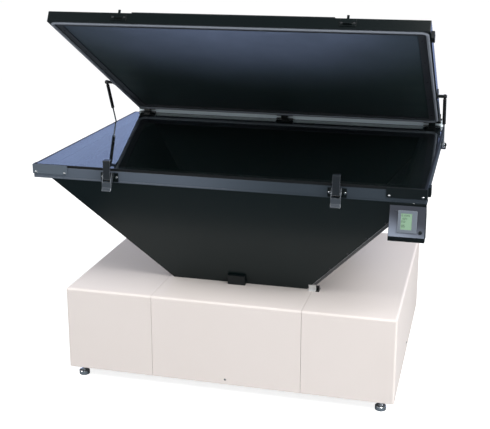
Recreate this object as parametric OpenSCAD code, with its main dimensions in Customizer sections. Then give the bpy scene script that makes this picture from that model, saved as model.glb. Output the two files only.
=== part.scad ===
// Screen printing exposure unit.
// A glass table stands on a black light hopper, which stands on a cabinet with the lamp gear.
// A vacuum lid with a rubber blanket is hinged at the back and held open by two gas struts.
// X runs along the front to the right, Y runs to the back and Z runs up from the floor.
// Inside the modules, Y is counted from the front face of the table's rim.

/* [Table] */
// Width of the table over its rim
table_w = 1300; // [1280:10:1320]
// Depth of the table over its rim
table_d = 988; // [984:2:1000]
// Height of the rim's upper edge above the floor
table_top = 776; // [760:2:800]
// Height of the rim's outer face
rim_h = 38; // [34:1:42]
// Width of the rim's side rails
rim_side_w = 65; // [60:1:70]
// Width of the rim's front rail
rim_front_w = 40; // [36:1:50]
// Thickness of the rim's metal
rim_wall = 4; // [3:0.5:5]
// Thickness of the glass
glass_t = 6; // [5:1:8]
// Thickness of the black tape between the rim and the glass
tape_t = 2; // [1:0.5:3]
// Distance from the rim's outer face to the edge of the glass
glass_inset = 7; // [6:1:10]

/* [Cabinet] */
// Width of the cabinet over its side covers
cabinet_w = 1152; // [1100:2:1180]
// Depth of the cabinet
cabinet_d = 901; // [880:1:920]
// Distance from the rim's front face back to the cabinet's front
cabinet_setback = 43; // [40:1:60]
// Height of the cabinet's top above the floor
cabinet_top = 331; // [320:1:345]
// Gap under the cabinet
cabinet_lift = 34; // [32:1:40]
// Width of the centre section between the two side covers
centre_w = 524; // [510:2:540]
// Thickness of the cabinet's sheet
sheet = 2; // [1.5:0.5:2.5]
// Radius of the cabinet's soft edges
edge_r = 8; // [5:1:12]
// Width of the two seams
seam = 1; // [0.8:0.2:3]

/* [Hopper] */
// Width of the hopper where it meets the rim
hopper_w = 1170; // [1160:2:1176]
// Extra reach of the hopper's right-hand wall at the rim
hopper_lean = 26; // [0:1:28]
// Width of the hopper where it stands on the cabinet
hopper_foot_w = 488; // [480:2:496]
// Depth of the hopper where it stands on the cabinet
hopper_foot_d = 502; // [490:2:510]
// Thickness of the hopper's walls, measured level
hopper_wall = 2.4; // [2:0.2:3]

/* [Lid] */
// Width of the lid
lid_w = 1261; // [1250:1:1266]
// Length of the lid from its back edge to its front edge
lid_d = 946; // [940:1:950]
// Thickness of the lid's rails
lid_t = 36; // [32:1:40]
// Width of the lid's rails
lid_rail_w = 40; // [38:1:44]
// Angle at which the struts hold the lid open
open_angle = 28; // [20:1:28]
// Distance of the hinge axis from the rim's front face
hinge_y = 975; // [973:1:976]
// Height of the hinge axis above the rim's upper edge
hinge_rise = 24; // [23:1:26]
// Distance from the lid's back edge to the hinge axis
hinge_reach = 22; // [21:1:24]
// Height of the bead that seals the blanket on the glass
bead_h = 6; // [4:0.5:7]

/* [Gas struts] */
// Distance of the upper strut pivot from the lid's back edge
strut_s = 313; // [305:1:320]
// Height of the upper strut pivot above the lid's underside
strut_n = 5; // [4:1:10]
// Distance of the lower strut pivot from the rim's front face
strut_foot_y = 768; // [760:1:775]
// Distance of the lower strut pivot below the rim's upper edge
strut_foot_drop = 23; // [18:1:26]
// Radius of the strut's cylinder
tube_r = 6.5; // [6:0.5:6.5]
// Radius of the strut's rod
rod_r = 3; // [2.5:0.5:3.5]

/* [Latches] */
// Distance of each latch from the middle of the front
latch_x = 377; // [350:1:400]
// Width of the latch lever
lever_w = 32; // [30:1:34]
// Width of the latch claw
claw_w = 24; // [20:1:25]

/* [Control box] */
// Distance of the box's left side from the middle of the front
control_x = 541; // [530:1:545]
// Width of the control box
control_w = 111; // [105:1:112]
// Height of the control box below the rim
control_h = 112; // [108:1:125]
// Reach of the control box's lower edge in front of the rim
control_reach = 40; // [38:1:42]

/* [Feet] */
// Distance of each foot from the middle of the front
foot_x = 530; // [500:1:540]
// Distance of each foot's centre inside the cabinet's front or back
foot_inset = 24; // [22:1:40]
// Radius of the foot's disc
foot_r = 18.5; // [15:0.5:22]

/* [Hidden] */
$fn = 48;

// Radial gap of a pin or shaft in its hole
run_gap = 0.05;
// Offset that puts the origin under the middle of the bounding box
front_y = -(table_d - control_reach) / 2;

// Heights and places that follow from the driving dimensions
rim_bottom = table_top - rim_h;
glass_top = table_top + tape_t + glass_t;
cabinet_front = cabinet_setback;
cabinet_back = cabinet_setback + cabinet_d;
cabinet_h = cabinet_top - cabinet_lift;
rim_inner_back = table_d - 60;
glass_back = hinge_y - 28;
hinge_z = table_top + hinge_rise;
lid_z = glass_top + bead_h + 0.6;
lid_back = hinge_y - hinge_reach;
lid_front = lid_back - lid_d;
floor_z = cabinet_lift + 3;

// Colours as the photograph shows them
cream = "#e6dbd6";
hopper_black = "#20262b";
rim_blue = "#6a6f7e";
gloss_black = "#15171a";
glass_tint = "#2a2f38";
rubber_black = "#1b1c1e";
blanket_grey = "#4b5060";
bead_grey = "#a9b0b4";
bright_metal = "#c9ccd0";
steel_grey = "#8d9095";
screen_green = "#a8d08a";
panel_grey = "#6b7077";
ceramic_white = "#e8e4da";
copper = "#a8642f";

// Puts children, drawn from the rim's front face, into the part's frame
module from_front() {
    translate([0, front_y, 0]) children();
}

// Draws children on the shut lid and then opens it
module on_lid() {
    from_front()
        translate([0, hinge_y, hinge_z])
            rotate([-open_angle, 0, 0])
                translate([0, -hinge_y, -hinge_z]) children();
}

// Draws children on the right and mirrored on the left
module both_sides() {
    children();
    mirror([1, 0, 0]) children();
}

// Rectangle with round corners, centred
module round_rect(w, d, r) {
    square([w - 2 * r, d], center = true);
    square([w, d - 2 * r], center = true);
    for (x = [-1, 1], y = [-1, 1])
        translate([x * (w / 2 - r), y * (d / 2 - r)]) circle(r);
}

// Block on z = 0 whose upright edges and top edges are round
module soft_block(w, d, h, r) {
    intersection() {
        linear_extrude(h) round_rect(w, d, r);
        rotate([90, 0, 0]) linear_extrude(d + 2, center = true) round_rect(w, 2 * h, r);
        rotate([90, 0, 90]) linear_extrude(w + 2, center = true) round_rect(d, 2 * h, r);
    }
}

// Extrudes a profile drawn in Y and Z along X, centred
module along_x(length) {
    rotate([90, 0, 90]) linear_extrude(length, center = true) children();
}

// Extrudes a profile drawn in X and Z along Y, centred
module along_y(length) {
    rotate([90, 0, 0]) linear_extrude(length, center = true) children();
}

// Box between two corners
module box(lo, hi) {
    translate(lo) cube(hi - lo);
}

// Round bar along X between two places
module bar_x(x0, x1, r) {
    translate([x0, 0, 0]) rotate([0, 90, 0]) cylinder(h = x1 - x0, r = r);
}

// Round bar along Y between two places
module bar_y(y0, y1, r) {
    translate([0, y0, 0]) rotate([-90, 0, 0]) cylinder(h = y1 - y0, r = r);
}

// Pan head with a cross recess, standing on z = 0
module screw_head(r, h) {
    dome_r = (r * r + h * h) / (2 * h);
    difference() {
        intersection() {
            cylinder(h = h, r = r);
            translate([0, 0, h - dome_r]) sphere(dome_r);
        }
        for (a = [0, 90])
            rotate([0, 0, a]) translate([-r * 0.55, -r * 0.12, h * 0.55]) cube([r * 1.1, r * 0.24, h]);
    }
}

// Slot with round ends, cut along Y, length measured over its ends
module slot_y(length, width, depth) {
    along_y(depth) {
        square([length - width, width], center = true);
        for (x = [-1, 1]) translate([x * (length - width) / 2, 0]) circle(width / 2);
    }
}

// Funnel shape of the hopper

function hopper_part(z) = (z - cabinet_top) / (rim_bottom - cabinet_top);
function hopper_half_w(z) = hopper_foot_w / 2 + (hopper_w - hopper_foot_w) / 2 * hopper_part(z);
function hopper_right(z) = hopper_half_w(z) + hopper_lean * hopper_part(z);
function hopper_half_d(z) = hopper_foot_d / 2 + (table_d - hopper_foot_d) / 2 * hopper_part(z);
function hopper_front(z) = table_d / 2 - hopper_half_d(z);

// Solid funnel between two heights, its walls moved in by inset
module funnel(z0, z1, inset) {
    translate([0, table_d / 2, 0]) intersection() {
        along_y(2 * table_d) polygon([
            [-hopper_half_w(z0) + inset, z0], [hopper_right(z0) - inset, z0],
            [hopper_right(z1) - inset, z1], [-hopper_half_w(z1) + inset, z1]]);
        along_x(2 * table_w) polygon([
            [-hopper_half_d(z0) + inset, z0], [hopper_half_d(z0) - inset, z0],
            [hopper_half_d(z1) - inset, z1], [-hopper_half_d(z1) + inset, z1]]);
    }
}

// Slab that the right-hand wall of the hopper fills
module right_wall_slab(z0, z1) {
    translate([0, table_d / 2, 0]) along_y(2 * table_d) polygon([
        [hopper_right(z0) - hopper_wall, z0], [hopper_right(z0) + 30, z0],
        [hopper_right(z1) + 30, z1], [hopper_right(z1) - hopper_wall, z1]]);
}

// Shutter shafts
shaft_x = hopper_foot_w / 2 - 18;
shaft_z = cabinet_top + 12;
shaft_r = 4;
leaf_front = hopper_front(shaft_z) + 20;
leaf_back = table_d - leaf_front;

// Cabinet

module cabinet_outer() {
    translate([0, cabinet_front + cabinet_d / 2, cabinet_lift])
        soft_block(cabinet_w, cabinet_d, cabinet_h, edge_r);
}

module cabinet_inner() {
    translate([0, cabinet_front + cabinet_d / 2, cabinet_lift - 1])
        soft_block(cabinet_w - 2 * sheet, cabinet_d - 2 * sheet, cabinet_h - sheet + 1, edge_r - sheet);
}

// Part of the cabinet's skin between two places along X
module cabinet_skin(x0, x1) {
    difference() {
        intersection() {
            cabinet_outer();
            box([x0, cabinet_front - 1, cabinet_lift - 1], [x1, cabinet_back + 1, cabinet_top + 1]);
        }
        cabinet_inner();
    }
}

// Stiffening rim turned in along a seam
module seam_flange(x0) {
    flange = 14;
    difference() {
        intersection() {
            cabinet_inner();
            box([x0, cabinet_front, floor_z + 31], [x0 + sheet, cabinet_back, cabinet_top]);
        }
        box([x0 - 1, cabinet_front + sheet + flange, cabinet_lift],
            [x0 + sheet + 1, cabinet_back - sheet - flange, cabinet_top - sheet - flange]);
    }
}

fan_x = -80;
fan_z = 186;
gland_x = 170;
gland_z = 92;
gland_r = 9;
nipple_x = 120;

module base_frame() {
    nut_w = 50;
    nut_d = 36;
    nut_h = 10;
    post = 30;
    post_x = centre_w / 2 - 62;
    pan_w = cabinet_w - 2 * sheet;
    pan_d = cabinet_d - 2 * sheet;
    color(steel_grey) from_front() difference() {
        union() {
            translate([0, cabinet_front + cabinet_d / 2, cabinet_lift]) difference() {
                linear_extrude(30) round_rect(pan_w, pan_d, edge_r - sheet);
                translate([0, 0, 3]) linear_extrude(30) round_rect(pan_w - 6, pan_d - 6, edge_r - sheet - 3);
            }
            // Nut plates over the feet
            for (x = [-1, 1], y = [cabinet_front + foot_inset, cabinet_back - foot_inset])
                translate([x * foot_x, y, floor_z + nut_h / 2]) cube([nut_w, nut_d, nut_h], center = true);
            // Corner posts under the centre section's top
            for (x = [-1, 1], y = [0, 1])
                translate([x * post_x, table_d / 2 + (y - 0.5) * (cabinet_d - 40), 0])
                    mirror([x > 0 ? 1 : 0, 0, 0]) mirror([0, y, 0]) {
                        box([0, 0, floor_z], [post, 3, cabinet_top - sheet]);
                        box([0, 0, floor_z], [3, post, cabinet_top - sheet]);
                    }
            // Cross rails on the floor pan
            for (x = [-1, 1])
                translate([x * post_x, table_d / 2, floor_z + 15])
                    difference() {
                        cube([34, cabinet_d - 120, 30], center = true);
                        translate([0, 0, -3]) cube([28, cabinet_d, 30], center = true);
                    }
        }
        for (x = [-1, 1], y = [cabinet_front + foot_inset, cabinet_back - foot_inset])
            translate([x * foot_x, y, cabinet_lift - 1]) cylinder(h = 30, r = 5 + run_gap);
    }
}

module centre_cover() {
    half = centre_w / 2 - seam / 2;
    color(cream) from_front() difference() {
        union() {
            cabinet_skin(-half, half);
            seam_flange(-half);
            seam_flange(half - sheet);
        }
        // Opening for the light
        translate([0, table_d / 2, cabinet_top])
            cube([hopper_foot_w - 20, hopper_foot_d - 20, 20], center = true);
        // Fan grille of level slots inside a circle
        for (i = [-5:5])
            translate([fan_x, cabinet_back, fan_z + i * 13])
                slot_y(2 * sqrt(76 * 76 - pow(i * 13, 2)), 6, 12);
        translate([gland_x, 0, gland_z]) bar_y(cabinet_back - 10, cabinet_back + 10, gland_r + run_gap);
        translate([nipple_x, 0, gland_z]) bar_y(cabinet_back - 10, cabinet_back + 10, 6 + run_gap);
    }
}

// Right-hand cover with its louvre slots at the back
module side_cover() {
    inner = centre_w / 2 + seam / 2;
    color(cream) from_front() difference() {
        union() {
            cabinet_skin(inner, cabinet_w);
            seam_flange(inner);
        }
        for (col = [0, 1], row = [0:7])
            translate([370 + col * 110, cabinet_back, 130 + row * 18]) slot_y(80, 6, 12);
    }
}

module left_cover() {
    mirror([1, 0, 0]) side_cover();
}

module right_cover() {
    side_cover();
}

// Hopper

module shutter_ear(side) {
    translate([side * shaft_x, 0, 0]) intersection() {
        box([-10, hopper_front(cabinet_top + 22), cabinet_top], [10, leaf_front - 6, cabinet_top + 22]);
        translate([-side * shaft_x, 0, 0]) funnel(cabinet_top, rim_bottom, hopper_wall / 2);
    }
}

module hopper_shell() {
    color(hopper_black) from_front() difference() {
        union() {
            difference() {
                funnel(cabinet_top, rim_bottom, 0);
                funnel(cabinet_top - 5, rim_bottom + 5, hopper_wall);
                right_wall_slab(cabinet_top - 5, rim_bottom + 5);
            }
            // Flange under the rim
            difference() {
                funnel(rim_bottom - 2.5, rim_bottom, hopper_wall);
                box([-hopper_w / 2 + 28, 26, rim_bottom - 5],
                    [hopper_w / 2 - 28, table_d - 26, rim_bottom + 5]);
            }
            // Flange on the cabinet
            difference() {
                funnel(cabinet_top, cabinet_top + 2.5, hopper_wall);
                translate([0, table_d / 2, cabinet_top])
                    cube([hopper_foot_w - 20, hopper_foot_d - 20, 20], center = true);
            }
            // Bearing ears of the shutter
            for (side = [-1, 1]) {
                shutter_ear(side);
                translate([0, table_d, 0]) mirror([0, 1, 0]) shutter_ear(side);
            }
        }
        for (side = [-1, 1])
            translate([side * shaft_x, 0, shaft_z])
                bar_y(leaf_front - 13, leaf_back + 13, shaft_r + run_gap);
    }
}

// Slope of the hopper's front wall
front_slope = atan(hopper_front(cabinet_top) / (rim_bottom - cabinet_top));
// Flange along the right-hand slope edge, in the plane of the front wall
module slope_flange() {
    z0 = cabinet_top + 25;
    z1 = rim_bottom - 2;
    inner_w = 1.5;
    outer_w = 12;
    thick = 2;
    difference() {
        union() {
            // Strip in front of the side wall's edge
            intersection() {
                along_y(2 * table_d) polygon([
                    [hopper_right(z0) - inner_w, z0], [hopper_right(z0) + outer_w, z0],
                    [hopper_right(z1) + outer_w, z1], [hopper_right(z1) - inner_w, z1]]);
                along_x(2 * table_w) polygon([
                    [hopper_front(z0) - thick, z0], [hopper_front(z0) - 0.02, z0],
                    [hopper_front(z1) - 0.02, z1], [hopper_front(z1) - thick, z1]]);
            }
            // Fold that joins the strip to the side wall
            intersection() {
                along_y(2 * table_d) polygon([
                    [hopper_right(z0) - hopper_wall / 2, z0 + 1], [hopper_right(z0) + outer_w - 1, z0 + 1],
                    [hopper_right(z1) + outer_w - 1, z1 - 1], [hopper_right(z1) - hopper_wall / 2, z1 - 1]]);
                along_x(2 * table_w) polygon([
                    [hopper_front(z0) - thick / 2, z0], [hopper_front(z0) + 3, z0],
                    [hopper_front(z1) + 3, z1], [hopper_front(z1) - thick / 2, z1]]);
            }
        }
        // Room for the control box
        box([control_x - 1, -20, rim_bottom - 45], [table_w, 60, rim_bottom + 5]);
    }
}

module hopper_side_panel() {
    color(hopper_black) from_front() {
        intersection() {
            right_wall_slab(cabinet_top, rim_bottom);
            funnel(cabinet_top, rim_bottom, 0);
        }
        slope_flange();
        translate([0, table_d, 0]) mirror([0, 1, 0]) slope_flange();
    }
}

// Bare-metal corner brackets at the foot of the right-hand slope edges
module hopper_corner_bracket() {
    x0 = hopper_foot_w / 2 + 6;
    x1 = x0 + 38;
    z1 = cabinet_top + 22;
    y0 = hopper_front(cabinet_top) - 0.1;
    y1 = hopper_front(z1) - 0.1;
    color(bright_metal) from_front() for (back = [0, 1])
        translate([0, back * table_d, 0]) mirror([0, back, 0]) {
            // Flap that leans with the hopper's wall
            translate([(x0 + x1) / 2, 0, 0]) along_x(x1 - x0)
                polygon([[y0 - 2.5, cabinet_top], [y0, cabinet_top], [y1, z1], [y1 - 2.5, z1]]);
            // Foot with its fixing hole
            difference() {
                box([x0, y0 - 18, cabinet_top], [x1, y0 - 1, cabinet_top + 2.5]);
                translate([x0 + 14, y0 - 10, cabinet_top - 1]) cylinder(h = 5, r = 3);
            }
            // Gusset outside the side wall
            translate([x1 - 1.25, 0, 0]) along_x(2.5)
                polygon([[y0 - 18, cabinet_top], [y0 + 14, cabinet_top], [y1 + 4, z1], [y1 - 2.5, z1]]);
        }
}

// Housing of the shutter drive on the front wall
module shutter_drive_box() {
    y0 = hopper_front(cabinet_top);
    color(gloss_black) from_front() translate([-6, 0, 0]) along_x(62) polygon([
        [y0 - 22, cabinet_top],
        [y0, cabinet_top],
        [hopper_front(cabinet_top + 38), cabinet_top + 38],
        [hopper_front(cabinet_top + 38) - 9, cabinet_top + 36],
        [y0 - 26, cabinet_top + 16],
        [y0 - 26, cabinet_top + 3]]);
}

// Table

module table_frame() {
    opening = [table_w - 2 * rim_side_w, rim_inner_back - rim_front_w];
    groove = rim_wall;
    color(rim_blue) from_front() difference() {
        translate([0, table_d / 2, rim_bottom]) linear_extrude(rim_h) round_rect(table_w, table_d, 2);
        box([-opening[0] / 2, rim_front_w, rim_bottom - 1], [opening[0] / 2, rim_inner_back, table_top + 1]);
        // Hollow of the rails, open below
        difference() {
            box([-table_w / 2 + groove, groove, rim_bottom - 1],
                [table_w / 2 - groove, table_d - groove, table_top - groove]);
            box([-opening[0] / 2 - groove, rim_front_w - groove, rim_bottom - 2],
                [opening[0] / 2 + groove, rim_inner_back + groove, table_top]);
        }
        // Shadow line along the foot of the outer face
        box([-table_w / 2 - 1, -1, rim_bottom + 4], [table_w / 2 + 1, 0.8, rim_bottom + 5.5]);
    }
}

module glass_sheet() {
    color(glass_tint) from_front()
        box([-table_w / 2 + glass_inset, glass_inset, table_top + tape_t],
            [table_w / 2 - glass_inset, glass_back, glass_top]);
}

// Black trim round the edge of the glass, and the tape that the glass lies on
module glass_gasket() {
    color(rubber_black) from_front() difference() {
        translate([0, (glass_back + 6.5) / 2, table_top])
            linear_extrude(glass_top - table_top) round_rect(table_w - 1, glass_back + 5.5, 1.5);
        box([-table_w / 2 + glass_inset, glass_inset, table_top + tape_t],
            [table_w / 2 - glass_inset, glass_back, glass_top + 1]);
        box([-table_w / 2 + rim_side_w, rim_front_w, table_top - 1],
            [table_w / 2 - rim_side_w, rim_inner_back, table_top + tape_t + 1]);
    }
}

// Brackets round the two front corners
module corner_brackets() {
    front_w = 122;
    side_d = 26;
    thick = 2.5;
    z0 = rim_bottom + 14;
    color(gloss_black) from_front() both_sides() difference() {
        box([table_w / 2 - front_w, -thick, z0], [table_w / 2 + thick, side_d, glass_top]);
        box([table_w / 2 - front_w - 1, 0, z0 - 1], [table_w / 2, side_d + 1, glass_top + 1]);
        // Lower inner corner cut on the slant
        translate([table_w / 2 - front_w, 0, z0]) rotate([0, 45, 0]) cube([5, 20, 5], center = true);
    }
}

hinge_places = [-600, 0, 600];
hinge_w = 68;

module hinge_rail() {
    rail_y = hinge_y + 9;
    color(bright_metal) from_front() difference() {
        union() {
            box([-table_w / 2 + 8, rail_y, table_top], [table_w / 2 - 8, rail_y + 4, hinge_z + 3]);
            // Foot that is bolted to the rim
            box([-table_w / 2 + 8, glass_back + 7, table_top], [table_w / 2 - 8, rail_y + 1, table_top + 2]);
        }
        for (x = [-450:300:450])
            translate([x, hinge_y, table_top - 1]) cylinder(h = 5, r = 3.2);
    }
}

// Lower halves of the three hinges
module hinge_blocks() {
    color(gloss_black) from_front() for (x = hinge_places)
        translate([x, 0, 0]) difference() {
            union() {
                box([-hinge_w / 2, hinge_y - 11, table_top + 2], [hinge_w / 2, hinge_y + 9, table_top + 7]);
                box([-13, hinge_y - 9, table_top + 2], [13, hinge_y + 9, hinge_z]);
                translate([0, hinge_y, hinge_z]) bar_x(-13, 13, 9);
            }
            translate([0, hinge_y, hinge_z]) bar_x(-14, 14, 4 + run_gap);
        }
}

module hinge_pins() {
    color(bright_metal) from_front() for (x = hinge_places)
        translate([x, hinge_y, hinge_z]) {
            bar_x(-35, 35, 4);
            bar_x(-37, -34.6, 6);
            bar_x(34.6, 37, 6);
        }
}

// Latches: drawn about the middle of one latch

lever_pivot = [-14, rim_bottom + 30];
claw_pivot = [-20, rim_bottom + 17];
claw_top = rim_bottom + 79;
latch_plate_z = [rim_bottom + 3, rim_bottom + 33];

module at_latch(side) {
    from_front() translate([side * latch_x, 0, 0]) children();
}

module latch_plate() {
    half = 30;
    ear_x = 16.9;
    difference() {
        union() {
            box([-half, -3, latch_plate_z[0]], [half, 0, latch_plate_z[1]]);
            for (x = [-ear_x - 2.5, ear_x])
                box([x, lever_pivot[0] - 4, lever_pivot[1] - 8], [x + 2.5, -2, lever_pivot[1] + 5]);
        }
        translate([0, lever_pivot[0], lever_pivot[1]]) bar_x(-30, 30, 3 + run_gap);
    }
    // Pivot pin of the lever with its two heads
    translate([0, lever_pivot[0], lever_pivot[1]]) {
        bar_x(-20, 20, 3);
        bar_x(-21.5, -19.5, 4.4);
        bar_x(19.5, 21.5, 4.4);
    }
}

module latch_plates() {
    color(gloss_black) for (side = [-1, 1]) at_latch(side) latch_plate();
}

module latch_lever() {
    cheek_in = lever_w / 2 - 2.7;
    foot_z = rim_bottom - 22;
    py = lever_pivot[0];
    pz = lever_pivot[1];
    difference() {
        union() {
            // Two cheeks with round noses about both pivots
            for (x = [-1, 1]) translate([x * (cheek_in + lever_w / 2) / 2, 0, 0]) {
                translate([0, py, pz]) bar_x(-1.35, 1.35, 7.5);
                translate([0, claw_pivot[0], claw_pivot[1]]) bar_x(-1.35, 1.35, 8);
                along_x(2.7) polygon([
                    [py - 7.3, pz + 1.5], [py + 7.3, pz - 1.5], [claw_pivot[0] + 7.5, claw_pivot[1] - 2],
                    [-24, rim_bottom - 4], [-29, rim_bottom - 12], [-31, rim_bottom + 7],
                    [claw_pivot[0] - 8, claw_pivot[1]]]);
            }
            // Handle plate with its turned-out finger lip
            along_x(lever_w) polygon([[-31, rim_bottom + 7], [-28, rim_bottom + 7], [-28, rim_bottom - 12],
                [-34, foot_z + 1.5], [-38, foot_z], [-38, foot_z + 3], [-35.5, foot_z + 4],
                [-31, rim_bottom - 11]]);
        }
        translate([0, py, pz]) bar_x(-30, 30, 3 + run_gap);
    }
    // Pin that carries the claw
    translate([0, claw_pivot[0], claw_pivot[1]]) bar_x(-cheek_in - 1, cheek_in + 1, 2.5);
}

module latch_claw() {
    half = claw_w / 2;
    y0 = claw_pivot[0] - 7;
    difference() {
        union() {
            // Barrel round the pin, plate and bent lip
            translate([0, claw_pivot[0], claw_pivot[1]]) bar_x(-half, half, 5);
            box([-half, y0, claw_pivot[1] - 2], [half, y0 + 3, claw_top - 3]);
            box([-half, y0, claw_pivot[1] - 2], [half, claw_pivot[0], claw_pivot[1] + 2.6]);
            box([-half, y0 + 3, claw_top - 3], [half, -6.5, claw_top]);
            translate([0, y0 + 3, claw_top - 3]) intersection() {
                bar_x(-half, half, 3);
                box([-half, -4, 0], [half, 0, 4]);
            }
        }
        translate([0, claw_pivot[0], claw_pivot[1]]) bar_x(-half - 1, half + 1, 2.5 + run_gap);
    }
}

module left_latch_lever() {
    color(gloss_black) at_latch(-1) latch_lever();
}

module right_latch_lever() {
    color(gloss_black) at_latch(1) latch_lever();
}

module left_latch_claw() {
    color(gloss_black) at_latch(-1) latch_claw();
}

module right_latch_claw() {
    color(gloss_black) at_latch(1) latch_claw();
}

// Sensor block on the rim's right side, under the magnet on the lid
module lid_sensor() {
    x0 = table_w / 2;
    color(gloss_black) from_front() difference() {
        box([x0, 66, rim_bottom + 4], [x0 + 9, 100, rim_bottom + 35]);
        for (y = [74, 92]) translate([x0 + 9, y, rim_bottom + 19]) bar_x(-2, 1, 3);
    }
}

module lid_magnet() {
    color(gloss_black) on_lid() difference() {
        box([lid_w / 2, lid_front + 58, lid_z + 2], [lid_w / 2 + 9, lid_front + 96, lid_z + 26]);
        for (y = [67, 87])
            translate([lid_w / 2 + 9, lid_front + y, lid_z + 14]) bar_x(-2, 1, 3);
    }
}

// Control box

face_top = [-7, rim_bottom - 6];
face_foot = [-control_reach + 3, rim_bottom - 100];
face_tilt = atan((face_top[0] - face_foot[0]) / (face_top[1] - face_foot[1]));
face_length = norm(face_top - face_foot);
control_mid = control_x + control_w / 2;

// Puts children on the sloping face: X along the front, Y up the slope, Z outwards
module on_face() {
    from_front() translate([control_mid, face_foot[0], face_foot[1]])
        rotate([90 - face_tilt, 0, 0]) children();
}

module control_housing() {
    foot_z = rim_bottom - control_h;
    color(gloss_black) difference() {
        from_front() {
            translate([control_mid, 0, 0]) along_x(control_w) polygon([
                [-6, rim_bottom], face_top, face_foot, [-control_reach, rim_bottom - 101],
                [-control_reach, foot_z], [20, foot_z], [20, rim_bottom - 40],
                [-2, rim_bottom - 1], [-2, rim_bottom]]);
            // Fixing flange under the rim, right of the hopper
            box([hopper_right(rim_bottom) + 4, -5, rim_bottom - 3], [control_x + control_w, 58, rim_bottom]);
        }
        // Well of the button
        on_face() translate([button_x, button_s, -4]) cylinder(h = 5, r = 5.5);
    }
}

module control_face() {
    color(panel_grey) on_face() difference() {
        union() {
            translate([0, face_length / 2, 1]) cube([control_w - 2, face_length - 3, 2], center = true);
            // Indicator light
            translate([-35.5, 81, 1]) cylinder(h = 2, r = 3);
        }
        translate([button_x, button_s, -1]) cylinder(h = 5, r = 5.5);
    }
}

bezel_x = 1;
bezel_s = 49;
screen_dx = -3;
module display_bezel() {
    color(bright_metal) on_face() translate([bezel_x, bezel_s, 2]) difference() {
        linear_extrude(2.5) round_rect(58, 68, 3);
        translate([screen_dx, 0, 0.8]) linear_extrude(5) square([34, 50], center = true);
    }
}

module display_screen() {
    color(screen_green) on_face() translate([bezel_x + screen_dx, bezel_s, 2.8])
        linear_extrude(1) square([33.4, 49.4], center = true);
}

button_x = 41.5;
button_s = 18;
module start_button() {
    color(gloss_black) on_face() translate([button_x, button_s, 0.4]) {
        cylinder(h = 3.4, r = 5);
        translate([0, 0, 3.4]) cylinder(h = 0.8, r = 4.2);
    }
}

// Struts

strut_x = table_w / 2 + 7.5;
strut_foot = [strut_foot_y, table_top - strut_foot_drop];
top_arm = [lid_back - strut_s - hinge_y, lid_z + strut_n - hinge_z];
strut_top = [
    hinge_y + top_arm[0] * cos(open_angle) + top_arm[1] * sin(open_angle),
    hinge_z - top_arm[0] * sin(open_angle) + top_arm[1] * cos(open_angle)];
strut_run = strut_foot - strut_top;
strut_open = norm(strut_run);
shut_run = strut_foot - [hinge_y + top_arm[0], hinge_z + top_arm[1]];
strut_shut = norm(shut_run);
strut_stroke = strut_open - strut_shut;
// Cylinder's length from the upper pivot, short enough to clear the lower eye when shut
tube_end = strut_shut - 13;

// Puts children on the strut's axis: Z runs down from the upper pivot
module on_strut() {
    from_front() translate([strut_x, strut_top[0], strut_top[1]])
        rotate([atan2(strut_run[0], -strut_run[1]) - 180, 0, 0]) children();
}

module strut_cylinder() {
    difference() {
        union() {
            bar_x(-4.5, 4.5, 8);
            cylinder(h = 16, r = 5);
            translate([0, 0, 14]) cylinder(h = tube_end - 14, r = tube_r);
        }
        bar_x(-6, 6, 4 + run_gap);
        translate([0, 0, 18]) cylinder(h = tube_end - 24, r = tube_r - 1.5);
        translate([0, 0, 20]) cylinder(h = tube_end, r = rod_r + run_gap);
    }
}

module strut_rod() {
    piston_z = tube_end - 12;
    translate([0, 0, piston_z]) cylinder(h = 5, r = tube_r - 1.7);
    translate([0, 0, piston_z]) cylinder(h = strut_open - 5 - piston_z, r = rod_r);
    translate([0, 0, strut_open - 12.4]) cylinder(h = 5.4, r = 5);
    translate([0, 0, strut_open]) {
        bar_x(-4.5, 4.5, 8);
        bar_x(-5.1, 5.1, 4);
    }
}

module left_strut_cylinder() {
    color(gloss_black) mirror([1, 0, 0]) on_strut() strut_cylinder();
}

module right_strut_cylinder() {
    color(gloss_black) on_strut() strut_cylinder();
}

module left_strut_rod() {
    color(bright_metal) mirror([1, 0, 0]) on_strut() strut_rod();
}

module right_strut_rod() {
    color(bright_metal) on_strut() strut_rod();
}

// Forked brackets on the rim's sides at the lower strut pivots
module strut_brackets() {
    rim_x = table_w / 2;
    y = strut_foot[0];
    z = strut_foot[1];
    color(gloss_black) from_front() both_sides() difference() {
        union() {
            box([rim_x, y - 9, z - 15], [rim_x + 2, y + 34, z + 15]);
            box([rim_x, y - 9, z - 15], [rim_x + 17, y + 10, z - 11]);
            box([rim_x + 13, y - 9, z - 15], [rim_x + 17, y + 10, z + 2]);
            translate([0, y, z]) bar_x(rim_x + 13, rim_x + 17, 9);
            translate([0, y, z]) bar_x(rim_x + 16, rim_x + 19, 5);
        }
        for (dz = [-8, 8]) translate([0, y + 24, z + dz]) bar_x(rim_x - 1, rim_x + 3, 2.6);
    }
}

// Plates with the pivot studs on the lid's sides
module lid_strut_mounts() {
    color(gloss_black) both_sides() on_lid() translate([0, lid_back - strut_s, lid_z + strut_n]) {
        box([lid_w / 2, -18, -4], [lid_w / 2 + 4, 18, 22]);
        bar_x(lid_w / 2 + 3, strut_x - 5, 6);
        bar_x(strut_x - 6, strut_x + 5.4, 4);
        bar_x(strut_x + 5, strut_x + 7.5, 6);
    }
}

// Lid

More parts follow.
